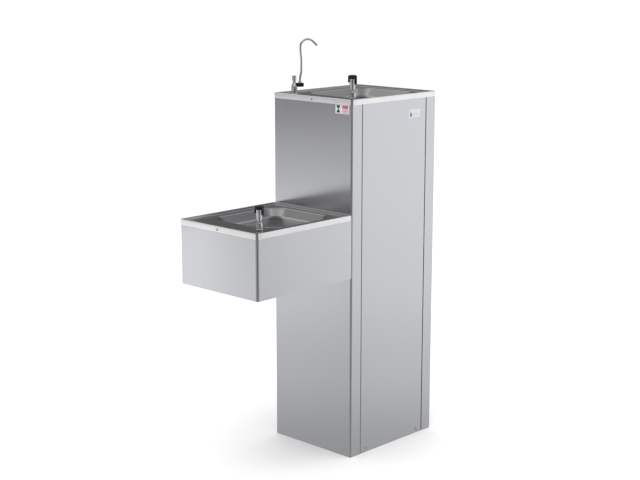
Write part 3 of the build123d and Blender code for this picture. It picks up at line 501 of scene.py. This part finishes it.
def glow(name, levels):
    """Light material that grades with height, from (height, strength) levels."""
    material = bpy.data.materials.new(name)
    material.use_nodes = True
    nodes = material.node_tree.nodes
    links = material.node_tree.links
    nodes.remove(nodes["Principled BSDF"])
    place = nodes.new("ShaderNodeTexCoord")
    split = nodes.new("ShaderNodeSeparateXYZ")
    links.new(place.outputs["Object"], split.inputs["Vector"])
    emission = nodes.new("ShaderNodeEmission")
    links.new(graded(nodes, links, split.outputs["Z"], levels), emission.inputs["Color"])
    links.new(emission.outputs["Emission"], nodes["Material Output"].inputs["Surface"])
    return material


CARD_Z = (-2.0, 2.0)        # usual lower and upper edge of a card


def add_card(name, azimuth, distance, width, levels, aside=0.0, zs=CARD_Z):
    """Upright studio card that only reflections see, facing the fountain or aside of it."""
    turn = math.radians(azimuth)
    out = Vector((math.cos(turn), math.sin(turn), 0))
    side = Vector((-math.sin(turn), math.cos(turn), 0))
    middle = out * distance + side * aside
    corners = [
        middle + side * (sign * width / 2) + Vector((0, 0, z))
        for sign, z in ((-1, zs[0]), (1, zs[0]), (1, zs[1]), (-1, zs[1]))
    ]
    card = add_object(name, corners, [(0, 1, 2, 3)], glow(name, levels))
    card.visible_camera = False
    card.visible_diffuse = False
    card.visible_shadow = False


SKY_LEVELS = (
    (-0.5, 0.44), (-0.05, 0.34), (0.03, 0.13), (0.38, 0.14), (0.54, 0.50), (0.73, 1.0), (0.93, 0.26),
)
WHITE = 1.15                # surroundings as the camera and matt surfaces see them


def add_world():
    """White surroundings for the camera and the floor, a darker studio for reflections."""
    world = bpy.data.worlds.new("studio")
    world.use_nodes = True
    SCENE.world = world
    nodes = world.node_tree.nodes
    links = world.node_tree.links
    background = nodes["Background"]
    place = nodes.new("ShaderNodeTexCoord")
    split = nodes.new("ShaderNodeSeparateXYZ")
    links.new(place.outputs["Generated"], split.inputs["Vector"])
    path = nodes.new("ShaderNodeLightPath")
    choose = nodes.new("ShaderNodeMix")
    choose.data_type = "RGBA"
    links.new(path.outputs["Is Glossy Ray"], choose.inputs["Factor"])
    plain, seen = [socket for socket in choose.inputs if socket.type == "RGBA"]
    plain.default_value = (WHITE, WHITE, WHITE, 1)
    links.new(graded(nodes, links, split.outputs["Z"], SKY_LEVELS), seen)
    mixed = [socket for socket in choose.outputs if socket.type == "RGBA"][0]
    links.new(mixed, background.inputs["Color"])
    background.inputs["Strength"].default_value = 1.0


def add_lights():
    """Soft overhead light and the cards that shape the steel's reflections."""
    data = bpy.data.lights.new("overhead", "AREA")
    data.shape = "RECTANGLE"
    data.size = 2.4
    data.size_y = 2.4
    data.energy = 30.0
    light = bpy.data.objects.new("overhead", data)
    light.location = (-0.4, -0.3, 3.0)
    light.visible_glossy = False
    SCENE.collection.objects.link(light)
    add_card("card_left_back", 135.0, 3.4, 3.2, (
        (-1.3, 0.42), (-0.8, 0.68), (-0.3, 0.88), (0.1, 0.80), (0.38, 0.58), (0.62, 0.34), (0.9, 0.27),
    ), aside=-0.7)
    add_card("card_right_front", -45.0, 3.4, 2.6, (
        (-1.3, 0.50), (-0.8, 0.77), (-0.3, 0.93), (0.2, 0.99), (0.62, 1.0), (1.0, 1.0),
    ), aside=0.5)
    add_card("card_low_left", 135.0, 0.98, 0.16, ((0.2, 1.1), (0.7, 1.15)), aside=0.26, zs=(0.34, 0.57))
    add_card("card_behind_camera", -136.0, 5.2, 9.0, ((-1.5, 0.44), (0.0, 0.38), (1.2, 0.32)))
    add_card("card_dark_strip", -136.0, 5.0, 3.2, ((-1.5, 0.12), (0.0, 0.08), (1.2, 0.06)))


# ---- tops ----
RING_ARC = 12               # steps in each corner of a ring
RING_SIDE = 16              # steps along each side of a ring
RING_CORNERS = ((1, 1), (-1, 1), (-1, -1), (1, -1))
SKIRT_OUTWARD = ((0, 1, 0), (-1, 0, 0), (0, -1, 0), (1, 0, 0))


def ring(centre, half, corner, z):
    """Rounded rectangle of points about a centre, at one height."""
    middles = [
        Vector((centre[0] + sign_x * (half[0] - corner), centre[1] + sign_y * (half[1] - corner)))
        for sign_x, sign_y in RING_CORNERS
    ]
    points = []
    for quarter, middle in enumerate(middles):
        start = math.pi / 2 * quarter
        for step in range(RING_ARC + 1):
            angle = start + math.pi / 2 * step / RING_ARC
            points.append(middle + corner * Vector((math.cos(angle), math.sin(angle))))
        last = points[-1]
        end_angle = start + math.pi / 2
        target = middles[(quarter + 1) % 4] + corner * Vector((math.cos(end_angle), math.sin(end_angle)))
        for step in range(1, RING_SIDE):
            points.append(last.lerp(target, step / RING_SIDE))
    return [Vector((p.x, p.y, z)) for p in points]


def bowl_rings(centre, deck_z):
    """Rings from the deck down the bowl's wall, across its floor and into the drain."""
    margin = 0.009              # flat deck round the bowl's edge
    section = rounded([
        (-margin, 0, 0), (0, 0, 0.004), (BOWL_SLOPE, -BOWL_WALL, 0.010),
        (BOWL_SLOPE + 0.022, -BOWL_WALL - 0.0022, 0),
    ], 7)
    rings = []
    for inward, z in section:
        lean = min(max(inward, 0) / BOWL_SLOPE, 1.0)
        corner = BOWL_CORNER - max(min(inward, 0), -margin) - BOWL_TAPER * lean
        half = (BOWL_HALF[0] - inward, BOWL_HALF[1] - inward)
        rings.append(ring(centre, half, corner, deck_z + z))
    start = rings[-1]
    start_z = start[0].z
    seat_z = deck_z - BOWL_WALL - BOWL_FALL
    seat_edge = DRAIN_SEAT_R + 0.001
    steps = 16
    middle = Vector((centre[0], centre[1], 0))
    for step in range(1, steps + 1):
        share = step / steps
        circle_share = share * share * (3 - 2 * share)
        row = []
        for point in start:
            out = Vector((point.x, point.y, 0)) - middle
            flat = out.lerp(out.normalized() * seat_edge, 0.35 * share + 0.65 * circle_share)
            row.append(Vector((middle.x + flat.x, middle.y + flat.y, start_z + (seat_z - start_z) * share)))
        rings.append(row)
    drain = rounded([
        (seat_edge, 0, 0), (DRAIN_SEAT_R, -0.0001, 0.0008), (DRAIN_SEAT_R - 0.0006, -DRAIN_SEAT, 0.0008),
        (DRAIN_HOLE_R, -DRAIN_SEAT, 0),
    ], 4)
    for radius, z in drain[1:]:
        row = []
        for point in start:
            out = (Vector((point.x, point.y, 0)) - middle).normalized() * radius
            row.append(Vector((middle.x + out.x, middle.y + out.y, seat_z + z)))
        rings.append(row)
    return rings


def deck_piece(name, node):
    """A top pressed from one sheet: folded skirts, raised lip, ledge and bowl."""
    low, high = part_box(node)
    deck_centre = ((low.x + high.x) / 2, (low.y + high.y) / 2)
    half = ((high.x - low.x) / 2, (high.y - low.y) / 2)
    rim_z = high.z
    skirt_z = rim_z - SKIRT_H
    rings = []
    edge = rounded([
        (SKIRT_BEND, 0, 0), (LIP, 0, 0.0022), (LIP + 0.0012, -LIP_STEP, 0.0025),
        (LIP + 0.010, -LIP_STEP, 0),
    ], 6)
    for inward, z in edge:
        reach = (half[0] - inward, half[1] - inward)
        corner = max(CORNER_GAP - inward, 0.0025) if inward < LIP else 0.004
        rings.append(ring(deck_centre, reach, corner, rim_z + z))
    casing_left = low.x + SKIRT_OUT
    rings += bowl_rings((casing_left + LEDGE + BOWL_HALF[0], deck_centre[1]), rim_z - LIP_STEP)
    count = len(rings[0])
    vertices = [point for row in rings for point in row]
    faces = band_faces(len(rings), count)
    skirt = rounded([(SKIRT_BEND, 0, 0), (0, 0, SKIRT_BEND * 0.98), (0, skirt_z - rim_z, 0)], 6)
    skirt = [point for point in skirt if point.y < -1e-6]
    quarter = RING_ARC + RING_SIDE
    for side in range(4):
        first = side * quarter + RING_ARC
        columns = [(first + step) % count for step in range(RING_SIDE + 1)]
        outward = Vector(SKIRT_OUTWARD[side])
        above = columns
        for inward, z in skirt:
            row = []
            for column in columns:
                base = rings[0][column]
                vertices.append(Vector((base.x, base.y, rim_z + z)) + outward * (SKIRT_BEND - inward))
                row.append(len(vertices) - 1)
            for step in range(RING_SIDE):
                faces.append((above[step], above[step + 1], row[step + 1], row[step]))
            above = row
    piece = add_object(name, vertices, faces, MATERIALS["stainless_satin"], 40)
    # The skirts and outer fold take the lighter steel, on the same sheet as the top: painted light that
    # these upright faces catch.
    piece.data.materials.append(SKIRT_STEEL_PAINTED_LIGHT)
    for face in piece.data.polygons:
        out_x = abs(face.center.x - deck_centre[0]) > half[0] - SKIRT_BEND
        out_y = abs(face.center.y - deck_centre[1]) > half[1] - SKIRT_BEND
        face.material_index = 1 if out_x or out_y else 0
    solid = piece.modifiers.new("Sheet", "SOLIDIFY")
    solid.thickness = SHEET
    solid.offset = -1.0
    solid.use_even_offset = True
    return weight_normals(piece)


def outward_normals(piece):
    """Turns the faces so that the flat top faces up, for the sheet's thickness to go down."""
    mesh = piece.data
    top = max(mesh.polygons, key=lambda face: face.center.z)
    if top.normal.z < 0:
        mesh.flip_normals()
    return piece


def build_decks():
    """Both tops."""
    for prefix in ("upper", "low"):
        piece = outward_normals(deck_piece(f"{prefix}_deck_pressing", f"{prefix}_deck"))
        settle(piece, "fountain", f"{prefix}_deck")


# ---- taps ----
def through(points, steps=8):
    """Corners of a smooth line through (a, b) points."""
    line = []
    for index in range(len(points) - 1):
        before = Vector(points[max(index - 1, 0)])
        here = Vector(points[index])
        there = Vector(points[index + 1])
        after = Vector(points[min(index + 2, len(points) - 1)])
        for step in range(steps):
            t = step / steps
            bend = 2 * before - 5 * here + 4 * there - after
            twist = 3 * here - before - 3 * there + after
            place = 0.5 * (2 * here + (there - before) * t + bend * t ** 2 + twist * t ** 3)
            line.append((place.x, place.y, 0))
    line.append((*points[-1], 0))
    return line


def placed(place, turn):
    """Matrix for a place and a turn about Z in degrees."""
    return Matrix.Translation(place) @ Matrix.Rotation(math.radians(turn), 4, "Z")


def shank_corners(bore):
    """Threaded shank's outline, from its bore at the lower end up to the flange."""
    radius, length = SHANK
    pitch = 0.0015
    groove = 0.0005
    threads = 26
    lead_in = 0.001
    corners = [(bore, -length, 0), (radius - groove, -length, 0.0002)]
    for turn in range(threads):
        start = -length + lead_in + turn * pitch
        corners.append((radius, start + pitch / 2, 0.0001))
        corners.append((radius - groove, start + pitch, 0.0001))
    corners.append((radius, -0.003, 0))
    corners.append((radius, 0, 0))
    return corners


def build_bubbler(prefix):
    """Waisted chrome body with its jet."""
    low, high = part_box(f"{prefix}_bubbler_body")
    place = ((low.x + high.x) / 2, (low.y + high.y) / 2, high.z - BUBBLER_H)
    at = placed(place, HOOD_TURN)
    flange_r, flange_h = TAP_FLANGE
    head_r, groove_r = 0.0086, 0.0082
    flank = through([
        (0.0095, flange_h + 0.0006), (0.0094, 0.006), (0.0082, 0.015), (0.0064, 0.021),
        (0.0076, 0.025), (0.0079, 0.034), (head_r, 0.0435),
    ])
    stem_bore = 0.0029
    pocket_r, pocket_z = 0.007, 0.042
    corners = shank_corners(stem_bore)
    corners += [(flange_r, 0, 0.0003), (flange_r, flange_h, 0.0008), (0.0098, flange_h, 0.0002)]
    corners += flank
    corners += [
        (head_r, 0.0462, 0.0002), (groove_r, 0.0466, 0.0002), (groove_r, 0.0474, 0.0002),
        (head_r, 0.0478, 0.0002), (head_r, BUBBLER_H, 0.0009), (pocket_r, BUBBLER_H, 0.0003),
        (pocket_r, pocket_z, 0.0008), (stem_bore, pocket_z, 0.0003),
    ]
    body = lathe(f"{prefix}_bubbler_casting", corners, MATERIALS["chrome"], 96, True, 5, at)
    settle(body, "fountain", f"{prefix}_bubbler_body")
    out = Vector((1, 0, 0.35)).normalized()
    root = Vector((0.0062, 0, 0.0304))
    reach = [0, 0.0022, 0.0031, 0.0034, 0.0035]
    radii = [0.0022, 0.0022, 0.0022, 0.0020, 0.0017]
    points = [at @ (root + out * length) for length in reach]
    jet = tube(f"{prefix}_bubbler_jet", points, radii, 0.0012, MATERIALS["chrome"], 28)
    settle(jet, "fountain")


def build_cap(prefix):
    """Domed push cap whose wall runs down behind the body as a hood over the jet."""
    low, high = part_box(f"{prefix}_bubbler_cap")
    place = ((low.x + high.x) / 2, (low.y + high.y) / 2, high.z - CAP_H)
    at = placed(place, HOOD_TURN)
    brim_z = 0.0534
    hood_z = 0.0400
    lean = 0.003                # the hood's edge is a little higher on one side
    hood_from, hood_to, hood_run = -116.0, 103.0, 11.0
    roof_z = 0.0595
    bore = 0.0089
    hood_inner = 0.0111
    stem_socket = 0.0027
    dome = rounded([(0, CAP_H, 0), (CAP_R - 0.0002, CAP_H, 0.0046), (CAP_R, CAP_H - 0.009, 0)], 12)
    segments = 144
    vertices = []
    for index in range(segments):
        turn = 360.0 * index / segments - 180.0
        share = min((turn - hood_from) / hood_run + 1, (hood_to - turn) / hood_run + 1, 1.0)
        share = max(share, 0.0)
        share = share * share * (3 - 2 * share)
        edge = brim_z + (hood_z + lean * math.sin(math.radians(turn)) - brim_z) * share
        section = [(p.x, p.y) for p in dome]
        section += [
            (CAP_R, edge + 0.0005), (CAP_R - 0.0001, edge + 0.0002), (CAP_R - 0.0004, edge),
            (hood_inner + 0.0002, edge), (hood_inner, edge + 0.0003), (hood_inner, brim_z + 0.0005),
            (bore + 0.0003, brim_z + 0.0005), (bore, brim_z + 0.0008), (bore, roof_z - 0.0003),
            (bore - 0.0003, roof_z), (stem_socket, roof_z),
        ]
        angle = math.radians(turn)
        for radius, z in section:
            vertices.append(at @ Vector((radius * math.cos(angle), radius * math.sin(angle), z)))
    rows = len(vertices) // segments
    faces = section_faces(segments, rows)
    faces.append(tuple(index * rows + rows - 1 for index in range(segments)))
    cap = weight_normals(add_object(f"{prefix}_push_cap", vertices, faces, MATERIALS["black_plastic"]))
    settle(cap, f"{prefix}_bubbler_button", f"{prefix}_bubbler_cap")


def build_spring(node, wire_r, turns):
    """Coil standing on the body's pocket floor, in the place of the CAD spring."""
    low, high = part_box(node)
    coil_r = (high.x - low.x) / 2 - wire_r
    centre = Vector(((low.x + high.x) / 2, (low.y + high.y) / 2, low.z))
    height = high.z - low.z
    steps = 26 * turns
    end_r = wire_r * 0.6
    points = []
    for step in range(steps + 1):
        angle = 2 * math.pi * turns * step / steps
        rise = wire_r + (height - 2 * wire_r) * step / steps
        points.append(centre + Vector((coil_r * math.cos(angle), coil_r * math.sin(angle), rise)))
    radii = [end_r] + [wire_r] * (steps - 1) + [end_r]
    spring = tube(f"{node}_coil", points, radii, wire_r * 0.1, MATERIALS["spring_steel"], 12)
    settle(spring, "fountain", node)
    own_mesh(spring)


def build_filler():
    """Bottle filler: tapered body, grooved arm, push knob, collar and swan neck."""
    at = placed(FILLER_PLACE, FILLER_TURN)
    flange_r, flange_h = TAP_FLANGE
    stem_bore = 0.0022
    neck_r, neck_z = 0.0044, 0.0435
    pocket_r, pocket_z = 0.0037, 0.0314
    corners = shank_corners(stem_bore)
    corners += [
        (flange_r, 0, 0.0003), (flange_r, flange_h, 0.0008), (0.0085, flange_h, 0.0008),
        (0.0085, 0.0205, 0.006), (neck_r, 0.0315, 0.003), (neck_r, neck_z, 0.0004),
        (pocket_r, neck_z, 0.0002), (pocket_r, pocket_z, 0.0004), (stem_bore, pocket_z, 0.0002),
    ]
    body = lathe("filler_casting", corners, MATERIALS["chrome"], 80, True, 6, at)
    settle(body, "fountain", "filler_body")

    along = at @ Matrix.Translation((0, 0, ARM_Z)) @ Matrix.Rotation(math.pi / 2, 4, "Y")
    end = 0.0265
    groove = 0.0007
    arm_corners = [(0, end, 0), (ARM_R - 0.0012, end, 0.0004), (ARM_R, end - 0.0012, 0.0005)]
    for start in (0.0225, 0.0108):
        arm_corners += [
            (ARM_R, start, 0.0002), (ARM_R - groove, start - 0.0004, 0.0002),
            (ARM_R - groove, start - 0.0012, 0.0002), (ARM_R, start - 0.0016, 0.0002),
        ]
    arm_corners.append((ARM_R, 0.0035, 0))
    # The arm takes the black plastic in place of chrome: a painted dark reflection of the chrome arm.
    arm = lathe("filler_arm", arm_corners, MATERIALS["black_plastic"], 64, False, 5, along)
    settle(arm, "fountain")

    collar_low = ARM_Z + ARM_R - 0.0006
    collar_at = at @ Matrix.Translation((SPOUT_OUT, 0, collar_low))
    bore = SPOUT_R + 0.0001
    foot_r, head_r, collar_h = 0.0050, 0.0045, 0.0055
    collar = lathe("filler_gland", [
        (bore, 0, 0), (foot_r, 0, 0.0003), (foot_r, 0.0028, 0.0003), (head_r, 0.0031, 0.0002),
        (head_r, collar_h, 0.0006), (bore, collar_h, 0.0002),
    ], MATERIALS["chrome"], 64, True, 5, collar_at)
    settle(collar, "fountain", "filler_collar")

    knob_r, waist_r, hollow_r = 0.0060, 0.0056, 0.0048
    knob_low, knob_top, knob_roof = 0.0370, 0.0510, 0.0480
    knob = lathe("filler_push_knob", [
        (0, knob_top, 0), (knob_r, knob_top, 0.0016), (knob_r, 0.0462, 0.0003), (waist_r, 0.0459, 0.0002),
        (waist_r, 0.0450, 0.0002), (knob_r, 0.0447, 0.0003), (knob_r, knob_low, 0.0006),
        (hollow_r, knob_low, 0.0003), (hollow_r, knob_roof, 0.0003), (0.0019, knob_roof, 0),
    ], MATERIALS["chrome"], 64, False, 6, at)
    settle(knob, "filler_button", "filler_knob")

    arch_in, arch_out, arch_r = 0.0020, 0.0310, 0.0204
    tip_fall = 0.0176
    tip = Vector((arch_out + tip_fall, SPOUT_TOP - tip_fall))
    line = rounded([
        (0, collar_low - 0.0002, 0), (0, 0.042, 0.060), (0.0044, 0.062, 0.060), (0.0044, 0.096, 0.140),
        (arch_in, 0.118, 0.140), (arch_in, SPOUT_TOP, arch_r), (arch_out, SPOUT_TOP, arch_r), (*tip, 0),
    ], 14)
    fall = (line[-1] - line[-2]).normalized()
    line[-1] = tip - fall * 0.0004
    line.append(tip - fall * 0.0001)
    line.append(tip)
    radii = [SPOUT_R] * (len(line) - 2) + [SPOUT_R - 0.0001, SPOUT_R - 0.0003]
    points = [at @ Vector((SPOUT_OUT + p.x, 0, p.y)) for p in line]
    spout = tube("swan_neck_tube", points, radii, SPOUT_R - 0.0008, MATERIALS["chrome"], 36)
    settle(spout, "swan_neck", "filler_spout")


# ---- screws and labels ----
def cross_screw(name, place, outward, head_r, head_h):
    """Domed head with a cross recess, its underside at a place."""
    turn = Vector(outward).to_track_quat("Z", "Y").to_matrix().to_4x4()
    at = Matrix.Translation(place) @ turn
    arm_half = head_r * 0.13
    arm_reach = head_r * 0.55
    depth = head_h * 0.55
    dome = rounded([(head_r, 0, 0), (head_r, head_h, head_h * 0.8), (arm_reach, head_h, 0)], 8)
    segments = 96
    vertices = []
    for index in range(segments):
        angle = 2 * math.pi * index / segments
        along = abs(math.cos(angle)), abs(math.sin(angle))
        recess = min(arm_half / max(min(along), 1e-6), arm_reach / max(along))
        section = [(p.x, p.y) for p in dome]
        section += [(recess, head_h), (recess * 0.93, head_h - 0.0001), (recess * 0.85, head_h - depth)]
        for radius, z in section:
            vertices.append(at @ Vector((radius * math.cos(angle), radius * math.sin(angle), z)))
    rows = len(vertices) // segments
    faces = section_faces(segments, rows)
    vertices.append(at @ Vector((0, 0, head_h - depth * 1.1)))
    for index in range(segments):
        there = (index + 1) % segments
        faces.append((index * rows + rows - 1, there * rows + rows - 1, len(vertices) - 1))
    return weight_normals(add_object(name, vertices, faces, MATERIALS["steel_screw"], 25))


def join(name, pieces):
    """One object from several."""
    with bpy.context.temp_override(active_object=pieces[0], selected_editable_objects=pieces):
        bpy.ops.object.join()
    pieces[0].name = name
    return pieces[0]


def build_screws():
    """Skirt screws and front panel screws."""
    low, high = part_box("deck_screws")
    skirt_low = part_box("low_deck")[0].x
    upper_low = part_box("upper_deck")[0].x
    upper_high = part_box("upper_deck")[1].x
    head_r, head_h = 0.003, 0.0014
    upper_z = high.z - head_r
    low_z = low.z + head_r
    heads = [
        cross_screw("screw_a", (upper_low, 0, upper_z), (-1, 0, 0), head_r, head_h),
        cross_screw("screw_b", (skirt_low, 0, low_z), (-1, 0, 0), head_r, head_h),
        cross_screw("screw_c", (upper_high, 0, upper_z), (1, 0, 0), head_r, head_h),
    ]
    settle(join("skirt_screws", heads), "fountain", "deck_screws")
    low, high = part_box("front_panel_screws")
    panel_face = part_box("front_panel")[0].y
    middle_z = (low.z + high.z) / 2
    head_r, head_h = 0.004, 0.0022
    heads = [
        cross_screw("screw_d", (x, panel_face, middle_z), (0, -1, 0), head_r, head_h)
        for x in (low.x + head_r, high.x - head_r)
    ]
    settle(join("panel_screws", heads), "fountain", "front_panel_screws")


def slab(name, outline, low, high, at, material):
    """Thin plate from an outline of (a, b) points, with a softened upper edge."""
    middle = sum(outline, Vector((0, 0))) / len(outline)
    edge = (high - low) * 0.35
    levels = [(low, 0.0), (high - edge, 0.0), (high, edge)]
    vertices = []
    for z, inset in levels:
        for point in outline:
            inward = (middle - point).normalized() * inset
            vertices.append(at @ Vector((point.x + inward.x, point.y + inward.y, z)))
    count = len(outline)
    faces = band_faces(len(levels), count)
    faces.append(tuple(range(len(vertices) - count, len(vertices))))
    faces.append(tuple(reversed(range(count))))
    return add_object(name, vertices, faces, material, 30)


def box_outline(low_a, high_a, low_b, high_b, corner):
    """Rounded rectangle of (a, b) points."""
    corners = ((low_a, low_b), (high_a, low_b), (high_a, high_b), (low_a, high_b))
    return rounded([(a, b, corner) for a, b in corners], 5, True)


INKS = {
    "black": simple_plastic("ink_black", (0.03, 0.035, 0.03), 0.35),
    "red": simple_plastic("ink_red", (0.42, 0.10, 0.16), 0.35),
    "pink": simple_plastic("ink_pink", (0.60, 0.30, 0.35), 0.35),
    "blue": simple_plastic("ink_blue", (0.035, 0.05, 0.16), 0.35),
    "pale": simple_plastic("ink_pale", (0.50, 0.50, 0.66), 0.35),
}
FILM = 0.00024              # thickness of a label's film
INK = 0.00008               # height of the print over the film


def build_label(name, node, at, size, prints):
    """Film with rounded corners and raised generic prints, each (ink, outline)."""
    film = slab(name, box_outline(0, size[0], 0, size[1], 0.0012), 0, FILM, at, MATERIALS["label_film"])
    settle(film, "fountain", node)
    for index, (ink, outline) in enumerate(prints):
        mark = slab(f"{name}_print_{index}", outline, FILM, FILM + INK, at, INKS[ink])
        settle(mark, "fountain")


def build_labels():
    """Use pictogram on the left face and a drop sign on the front panel, both without words."""
    low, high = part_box("pictogram_label")
    size = (high.y - low.y, high.z - low.z)
    at = Matrix.Translation((high.x, high.y, low.z)) @ Matrix((
        (0, 0, -1, 0), (-1, 0, 0, 0), (0, 1, 0, 0), (0, 0, 0, 1),
    ))
    wide, tall = size
    cup, foot = [
        [Vector((a * wide, b * tall)) for a, b in shares]
        for shares in (
            ((0.07, 0.93), (0.36, 0.93), (0.26, 0.55), (0.17, 0.55)),
            ((0.18, 0.50), (0.25, 0.50), (0.37, 0.12), (0.07, 0.12)),
        )
    ]
    build_label("pictogram_sticker", "pictogram_label", at, size, [
        ("black", cup),
        ("black", foot),
        ("red", box_outline(0.50 * wide, 0.93 * wide, 0.58 * tall, 0.94 * tall, 0.0006)),
        ("pink", box_outline(0.50 * wide, 0.93 * wide, 0.20 * tall, 0.50 * tall, 0.0006)),
        ("red", box_outline(0.44 * wide, 0.96 * wide, 0.06 * tall, 0.11 * tall, 0.0003)),
    ])
    low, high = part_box("panel_label")
    size = (high.x - low.x, high.z - low.z)
    at = Matrix.Translation((low.x, high.y, low.z)) @ Matrix((
        (1, 0, 0, 0), (0, 0, -1, 0), (0, 1, 0, 0), (0, 0, 0, 1),
    ))
    wide, tall = size
    drop = []
    drop_half, drop_tall = 0.0052, 0.0075
    drop_steps = 36
    for step in range(drop_steps):
        angle = 2 * math.pi * step / drop_steps
        pinch = math.sin(angle / 2) ** 1.5
        across = wide * 0.19 + drop_half * pinch * math.sin(angle)
        drop.append(Vector((across, tall * 0.44 + drop_tall * math.cos(angle))))
    build_label("panel_sticker", "panel_label", at, size, [
        ("blue", drop),
        ("blue", box_outline(0.44 * wide, 0.50 * wide, 0.40 * tall, 0.50 * tall, 0.0004)),
        ("pale", box_outline(0.40 * wide, 0.92 * wide, 0.22 * tall, 0.30 * tall, 0.0005)),
        ("pale", box_outline(0.55 * wide, 0.92 * wide, 0.41 * tall, 0.48 * tall, 0.0005)),
    ])


dress_cad_nodes()
add_camera()
add_floor()
add_world()
add_lights()
build_decks()
for level in ("upper", "low"):
    build_bubbler(level)
    build_cap(level)
build_filler()
for tap, wire_r, turns in SPRINGS:
    build_spring(f"{tap}_spring", wire_r, turns)
build_screws()
build_labels()
